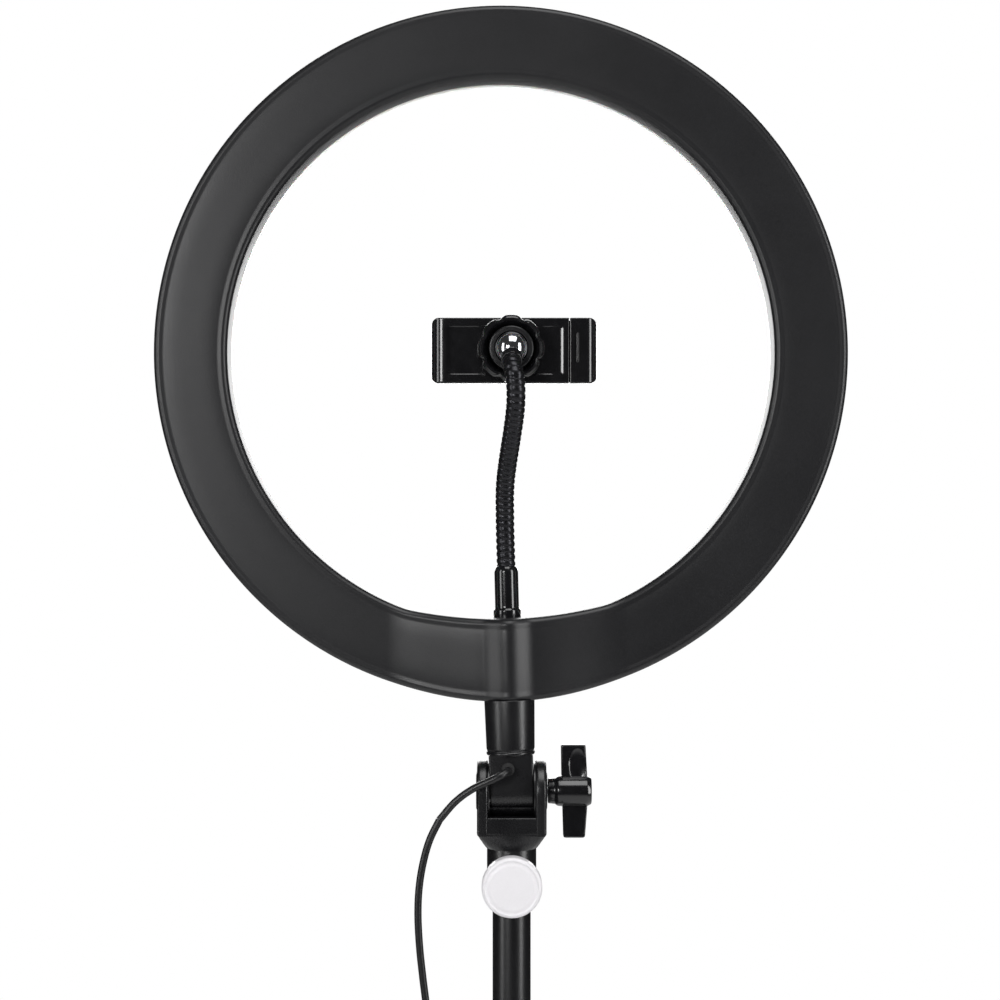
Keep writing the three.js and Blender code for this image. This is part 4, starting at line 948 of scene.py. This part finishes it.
def make_legs():
    """Each leg: a tube pressed flat at its pivot, a ribbed boot and a foot, and the brace that holds it
    out."""
    length = 358.0
    a = np.linspace(0, TURN, 64, endpoint=False)
    z = np.concatenate(([-length, -length + 0.4], np.linspace(-length + 1, -26, 6),
        np.linspace(-24, -8, 12), [0, 5, 7, 7]))
    flat = np.clip((z + 26) / 16, 0, 1)[:, None]
    flat = flat * flat * (3 - 2 * flat)
    wide = np.where(z > 0, np.sqrt(np.clip(49 - z * z, 0, 49)), 7.0)
    wide[0], wide[-1] = 0, 0
    wide[1] = 6.8
    x = wide[:, None] * np.cos(a)
    y = 7 * np.sin(a) * (wide[:, None] / 7) * (1 - flat) + 4 * np.clip(1.8 * np.sin(a), -1,
        1) * flat * (wide[:, None] > 0)
    tube = np.stack((x, y, np.broadcast_to(z[:, None], x.shape)), -1), False
    eye = turned(soften([[0, -4], [6.9, -4], [6.9, 4], [0, 4]], 0.6), "y", sides=56)
    boot = [[0, 2], [8.6, 0.6], [9.5, 1.6]]
    for k in range(5):
        h = 6 + 4.4 * k
        boot += [[9.5, h], [8.9, h + 0.7], [8.9, h + 1.6], [9.5, h + 2.3]]
    boot += [[9.5, 31], [8.6, 34], [7.1, 34], [7.1, 20], [0, 20]]
    sock = turned(soften(boot, 0.5, 3), sides=72)
    radius = PIVOT_RADIUS + 360 * math.sin(LEG_SPREAD)
    pad = turned(soften([[0, 0.02], [10.2, 0.02], [11, 0.8], [11, 10], [9.6, 13], [0, 14]], 1.0), sides=72)
    reach = (CROWN_HEIGHT - HUB_HEIGHT) / (2 * math.cos(LEG_SPREAD))
    ends = np.linspace(0, math.pi, 26)
    top = np.stack((6 * np.cos(ends), reach + 6 * np.sin(ends)), 1)
    side_run = np.linspace(reach, 0, 40)[1:-1]
    outline = np.vstack((top, np.stack((np.full(38, -6.0), side_run), 1),
        np.stack((-6 * np.cos(ends), -6 * np.sin(ends)), 1),
                         np.stack((np.full(38, 6.0), side_run[::-1]), 1)))
    channel = lambda p, q: 0.7 * np.clip((3.4 - abs(p)) / 1.2, 0,
        1) * np.clip(np.minimum(q - 8, reach - 8 - q) / 3, 0, 1)
    bar = slab(outline, 7.7, 10.6, 0.5, "y", 14, sink_high=channel)
    stud = turned(soften([[0, 7.4], [2.4, 7.4], [2.4, 10], [4, 10.8], [4, 11.6], [3, 12.05], [0, 12.1]],
        0.3), "y", (0, 0, reach), 32)
    for side in AZIMUTHS:
        place = in_spoke(side)
        hung = [moved(spun(part, "y", -LEG_SPREAD), (PIVOT_RADIUS, 0, CROWN_HEIGHT)) for part in (tube,
            eye)]
        piece("leg_tube_" + side, hung, place, "tube", "leg_" + side, "leg_" + side)
        shod = [moved(spun(sock, "y", -LEG_SPREAD), (radius, 0, 8)), moved(pad, (radius, 0, 0))]
        shod = [(np.concatenate((part[0][..., :2], np.maximum(part[0][..., 2:], 0.02)), -1),
            part[1]) for part in shod]
        piece("shoe_" + side, shod, place, "rubber", "leg_" + side, "foot_" + side)
        swung = [moved(spun(part, "y", LEG_SPREAD), (PIVOT_RADIUS, 0, HUB_HEIGHT)) for part in (bar, stud)]
        piece("strut_" + side, swung, place, "tube", "brace_" + side, "brace_" + side)


def make_controller():
    """The in-line controller: a flat case split round its middle, and three domed buttons in their
    wells."""
    x, y, middle = -37.5, -18.0, 346.0
    well = lambda p, q: sum(
        0.8 * (np.hypot(p - x, q - middle - level) < 5.0) for level in (-15, 0, 15)
    ) + 0.25 * (abs(np.hypot(p - x, q - middle + 30) - 2) < 0.4)
    front = slab(rounded_box(x - 13, x + 13, middle - 42, middle + 42, 8, 10, 50), y - 6, y + 0.15, 2.2,
        "y", 60, sink_low=well)
    back = slab(rounded_box(x - 12.9, x + 12.9, middle - 41.9, middle + 41.9, 8, 10, 30), y + 0.35, y + 6,
        2.2, "y", 6)
    lip = slab(rounded_box(x - 12, x + 12, middle - 41, middle + 41, 7.5, 10, 20), y - 2, y + 2, 0.3, "y",
        2)
    piece("remote_case", [front, back, lip], in_column, "nylon", "top_section", "controller_case")
    for name, level in (("brighter", 15), ("power", 0), ("dimmer", -15)):
        cap = turned(soften([[0, y - 6.9], [3.2, y - 6.85], [4.1, y - 6.1], [4.2, y - 4], [0, y - 4]], 0.7),
            "y",
                     (x, 0, middle + level), 48)
        piece("key_" + name, [cap], in_column, "rubber", "button_" + name, "button_" + name)


# ---- Stage ----


def make_stage(sizes):
    """A pale floor that fades into the backdrop, two tall softboxes beside and behind the camera, and
    the camera."""
    camera = bpy.data.objects.new("camera", bpy.data.cameras.new("camera"))
    bpy.context.scene.collection.objects.link(camera)
    bpy.context.scene.camera = camera
    distance = sizes.distance
    camera.location = (-0.0055, 0.0784 - distance, 0.8513)
    camera.rotation_euler = (math.pi / 2, 0, 0)
    camera.data.lens = 36 * distance / 0.4755
    camera.data.clip_start, camera.data.clip_end = 0.01, 60
    bpy.context.scene.view_settings.view_transform = "Standard"

    a = np.linspace(0, TURN, 96, endpoint=False)
    r = np.array([0, 0.5, 1, 2, 4, 8, 14.0])[:, None] / MM
    grid = np.stack((r * np.cos(a), r * np.sin(a), np.zeros((7, 96))), -1)
    material = bpy.data.materials.new("pale_paper")
    material.use_nodes = True
    tree = material.node_tree
    shader = tree.nodes["Principled BSDF"]
    out = tree.nodes["Material Output"]
    # Matt backdrop paper, which is lit evenly further out so that no horizon shows.
    place = node(tree, "TexCoord").outputs["Object"]
    far = node(tree, "VectorMath", {0: place}, operation="LENGTH")
    fade = node(tree, "MapRange", {"Value": far.outputs["Value"], "From Min": 0.7, "From Max": 2.2},
        interpolation_type="SMOOTHSTEP")
    fibre = node(tree, "TexNoise", {"Vector": place, "Scale": 700.0, "Detail": 2.0})
    tone = node(tree, "Mix", {0: fibre.outputs["Fac"], 6: (*linear("#ececec"), 1),
        7: (*linear("#f3f3f3"), 1)}, data_type="RGBA")
    tree.links.new(tone.outputs[2], shader.inputs["Base Color"])
    shader.inputs["Roughness"].default_value = 0.9
    seen = node(tree, "LightPath").outputs["Is Camera Ray"]
    strength = node(tree, "MapRange", {"Value": seen, "To Min": sizes.room, "To Max": 1.0})
    glow = node(tree, "Emission", {"Color": (1, 1, 1, 1), "Strength": strength.outputs["Result"]})
    blend = node(tree, "MixShader", {0: fade.outputs["Result"], 1: shader.outputs["BSDF"],
        2: glow.outputs["Emission"]})
    tree.links.new(blend.outputs["Shader"], out.inputs["Surface"])
    floor = skin("floor", [(grid, False)], lambda p: p - [0, 0, 1.0], None)
    floor.data.materials.append(material)

    world = bpy.data.worlds.new("studio")
    bpy.context.scene.world = world
    world.use_nodes = True
    tree = world.node_tree
    # The backdrop is white, and what the object sees of the room is dimmer, so that black plastic stays
    # black.
    seen = node(tree, "LightPath").outputs["Is Camera Ray"]
    strength = node(tree, "MapRange", {"Value": seen, "To Min": sizes.room, "To Max": 1.0})
    background = tree.nodes["Background"]
    background.inputs["Color"].default_value = (1, 1, 1, 1)
    tree.links.new(strength.outputs["Result"], background.inputs["Strength"])
    for name, place, turn, size, watts in (
        ("softbox_key", (-0.95, -2.0, 1.2), (83, 0, -24), (0.6, 0.6), sizes.key),
        ("strip_left", (-1.16, -0.62, 1.0), (90, 0, -59), (0.3, 1.2), sizes.left),
        ("strip_right", (1.16, -0.62, 1.0), (90, 0, 59), (0.35, 1.2), sizes.right),
        ("softbox_top", (0.4, -1.0, 3.2), (25, 0, 0), (1.8, 1.8), sizes.top),
        ("softbox_front", (0.0, 2.6, 1.6), (-82, 0, 0), (2.2, 1.6), sizes.front),
    ):
        lamp = bpy.data.lights.new(name, "AREA")
        lamp.shape, lamp.size, lamp.size_y, lamp.energy = "RECTANGLE", size[0], size[1], watts
        obj = bpy.data.objects.new(name, lamp)
        obj.location = place
        obj.rotation_euler = [math.radians(v) for v in turn]
        bpy.context.scene.collection.objects.link(obj)


# ---- Settings ----


class RINGLIGHT_PG_sizes(bpy.types.PropertyGroup):
    radius: FloatProperty(name="Ring radius", description="Rim of the ring", default=0.165, unit="LENGTH")
    bulge: FloatProperty(name="Cover swelling", description="How far the cover swells over the neck",
        default=0.0099, unit="LENGTH")
    rib: FloatProperty(name="Cover rib", description="Height of the rib above the neck", default=0.0038,
        unit="LENGTH")
    pitch: FloatProperty(name="Gooseneck pitch", description="Distance between two turns of the wound tube",
        default=0.0032, unit="LENGTH")
    ridge: FloatProperty(name="Pad ridges", description="Distance between two ridges of a finger's pad",
        default=0.0022, unit="LENGTH")


class RINGLIGHT_PG_colours(bpy.types.PropertyGroup):
    cover: FloatVectorProperty(name="Cover", description="Rear cover's plastic", subtype="COLOR",
        default=linear("#18181a"))
    knobs: FloatVectorProperty(name="Knobs", description="Knobs, nut and clamp", subtype="COLOR",
        default=linear("#111113"))
    lock: FloatVectorProperty(name="Lock dial", description="White dial's plastic", subtype="COLOR",
        default=linear("#f1eff2"))


class RINGLIGHT_PG_stage(bpy.types.PropertyGroup):
    distance: FloatProperty(name="Camera distance", description="From the camera to the ring", default=1.0,
        unit="LENGTH")
    room: FloatProperty(name="Room light", description="Brightness of the room round the object",
        default=0.04)
    key: FloatProperty(name="Key softbox", description="Power of the softbox behind the camera",
        default=15.0, unit="POWER")
    left: FloatProperty(name="Left strip", description="Power of the strip on the left", default=6.0,
        unit="POWER")
    right: FloatProperty(name="Right strip", description="Power of the strip on the right", default=10.0,
        unit="POWER")
    top: FloatProperty(name="Top softbox", description="Power of the softbox overhead", default=40.0,
        unit="POWER")
    front: FloatProperty(name="Front softbox", description="Power of the softbox before the lens",
        default=50.0, unit="POWER")


class RINGLIGHT_OT_stage(bpy.types.Operator):
    """Makes the camera, the floor and the lights"""

    bl_idname = "ringlight.stage"
    bl_label = "Stage"

    def execute(self, context):
        make_stage(context.scene.ringlight_stage)
        make_finishes(context.scene.ringlight_colours)
        return {"FINISHED"}


class RINGLIGHT_OT_cords(bpy.types.Operator):
    """Lays the lead from the head to its plug"""

    bl_idname = "ringlight.cords"
    bl_label = "Lead"

    def execute(self, context):
        make_cords()
        return {"FINISHED"}


class RINGLIGHT_OT_lamp(bpy.types.Operator):
    """Makes the rear cover and the lens"""

    bl_idname = "ringlight.lamp"
    bl_label = "Lamp"

    def execute(self, context):
        make_lamp(context.scene.ringlight_sizes)
        return {"FINISHED"}


class RINGLIGHT_OT_neck(bpy.types.Operator):
    """Makes the neck and the lead's sleeve"""

    bl_idname = "ringlight.neck"
    bl_label = "Neck"

    def execute(self, context):
        make_neck()
        return {"FINISHED"}


class RINGLIGHT_OT_bracket(bpy.types.Operator):
    """Makes the fork, its bolt, the wing knob and the lock dial"""

    bl_idname = "ringlight.bracket"
    bl_label = "Tilt bracket"

    def execute(self, context):
        make_bracket()
        return {"FINISHED"}


class RINGLIGHT_OT_gooseneck(bpy.types.Operator):
    """Makes the gooseneck with its ferrule and ball"""

    bl_idname = "ringlight.gooseneck"
    bl_label = "Gooseneck"

    def execute(self, context):
        make_gooseneck(context.scene.ringlight_sizes)
        return {"FINISHED"}


class RINGLIGHT_OT_clamp(bpy.types.Operator):
    """Makes the ball's socket and nut, and the phone clamp"""

    bl_idname = "ringlight.clamp"
    bl_label = "Phone clamp"

    def execute(self, context):
        make_clamp(context.scene.ringlight_sizes)
        return {"FINISHED"}


class RINGLIGHT_OT_column(bpy.types.Operator):
    """Makes the three tubes, their collars and their knobs"""

    bl_idname = "ringlight.column"
    bl_label = "Column"

    def execute(self, context):
        make_column()
        return {"FINISHED"}


class RINGLIGHT_OT_crown(bpy.types.Operator):
    """Makes the leg crown and the lower hub"""

    bl_idname = "ringlight.crown"
    bl_label = "Crown and hub"

    def execute(self, context):
        make_crown_and_hub()
        return {"FINISHED"}


class RINGLIGHT_OT_legs(bpy.types.Operator):
    """Makes the legs, their braces and their feet"""

    bl_idname = "ringlight.legs"
    bl_label = "Legs"

    def execute(self, context):
        make_legs()
        return {"FINISHED"}


class RINGLIGHT_OT_controller(bpy.types.Operator):
    """Makes the in-line controller and its buttons"""

    bl_idname = "ringlight.controller"
    bl_label = "Controller"

    def execute(self, context):
        make_controller()
        return {"FINISHED"}


OPERATORS = (
    RINGLIGHT_OT_stage, RINGLIGHT_OT_cords, RINGLIGHT_OT_lamp, RINGLIGHT_OT_neck, RINGLIGHT_OT_bracket,
    RINGLIGHT_OT_gooseneck, RINGLIGHT_OT_clamp, RINGLIGHT_OT_column, RINGLIGHT_OT_crown, RINGLIGHT_OT_legs,
    RINGLIGHT_OT_controller,
)


class RINGLIGHT_PT_panel(bpy.types.Panel):
    """The light's sizes, colours and steps"""

    bl_idname = "RINGLIGHT_PT_panel"
    bl_label = "Ring Light"
    bl_space_type = "VIEW_3D"
    bl_region_type = "UI"
    bl_category = "Ring Light"

    def draw(self, context):
        for group in ("ringlight_sizes", "ringlight_colours", "ringlight_stage"):
            settings = getattr(context.scene, group)
            box = self.layout.box()
            for name in settings.__annotations__:
                box.prop(settings, name)
        for operator in OPERATORS:
            self.layout.operator(operator.bl_idname)


GROUPS = (RINGLIGHT_PG_sizes, RINGLIGHT_PG_colours, RINGLIGHT_PG_stage)


def register():
    for kind in (*GROUPS, *OPERATORS, RINGLIGHT_PT_panel):
        bpy.utils.register_class(kind)
    bpy.types.Scene.ringlight_sizes = PointerProperty(type=RINGLIGHT_PG_sizes)
    bpy.types.Scene.ringlight_colours = PointerProperty(type=RINGLIGHT_PG_colours)
    bpy.types.Scene.ringlight_stage = PointerProperty(type=RINGLIGHT_PG_stage)


def unregister():
    for name in ("ringlight_sizes", "ringlight_colours", "ringlight_stage"):
        delattr(bpy.types.Scene, name)
    for kind in reversed((*GROUPS, *OPERATORS, RINGLIGHT_PT_panel)):
        bpy.utils.unregister_class(kind)


def main():
    register()
    for name in ("stage", "cords", "lamp", "neck", "bracket", "gooseneck", "clamp", "column", "crown",
            "legs", "controller"):
        getattr(bpy.ops.ringlight, name)()
    bpy.context.view_layer.update()


if __name__ == "__main__":
    main()
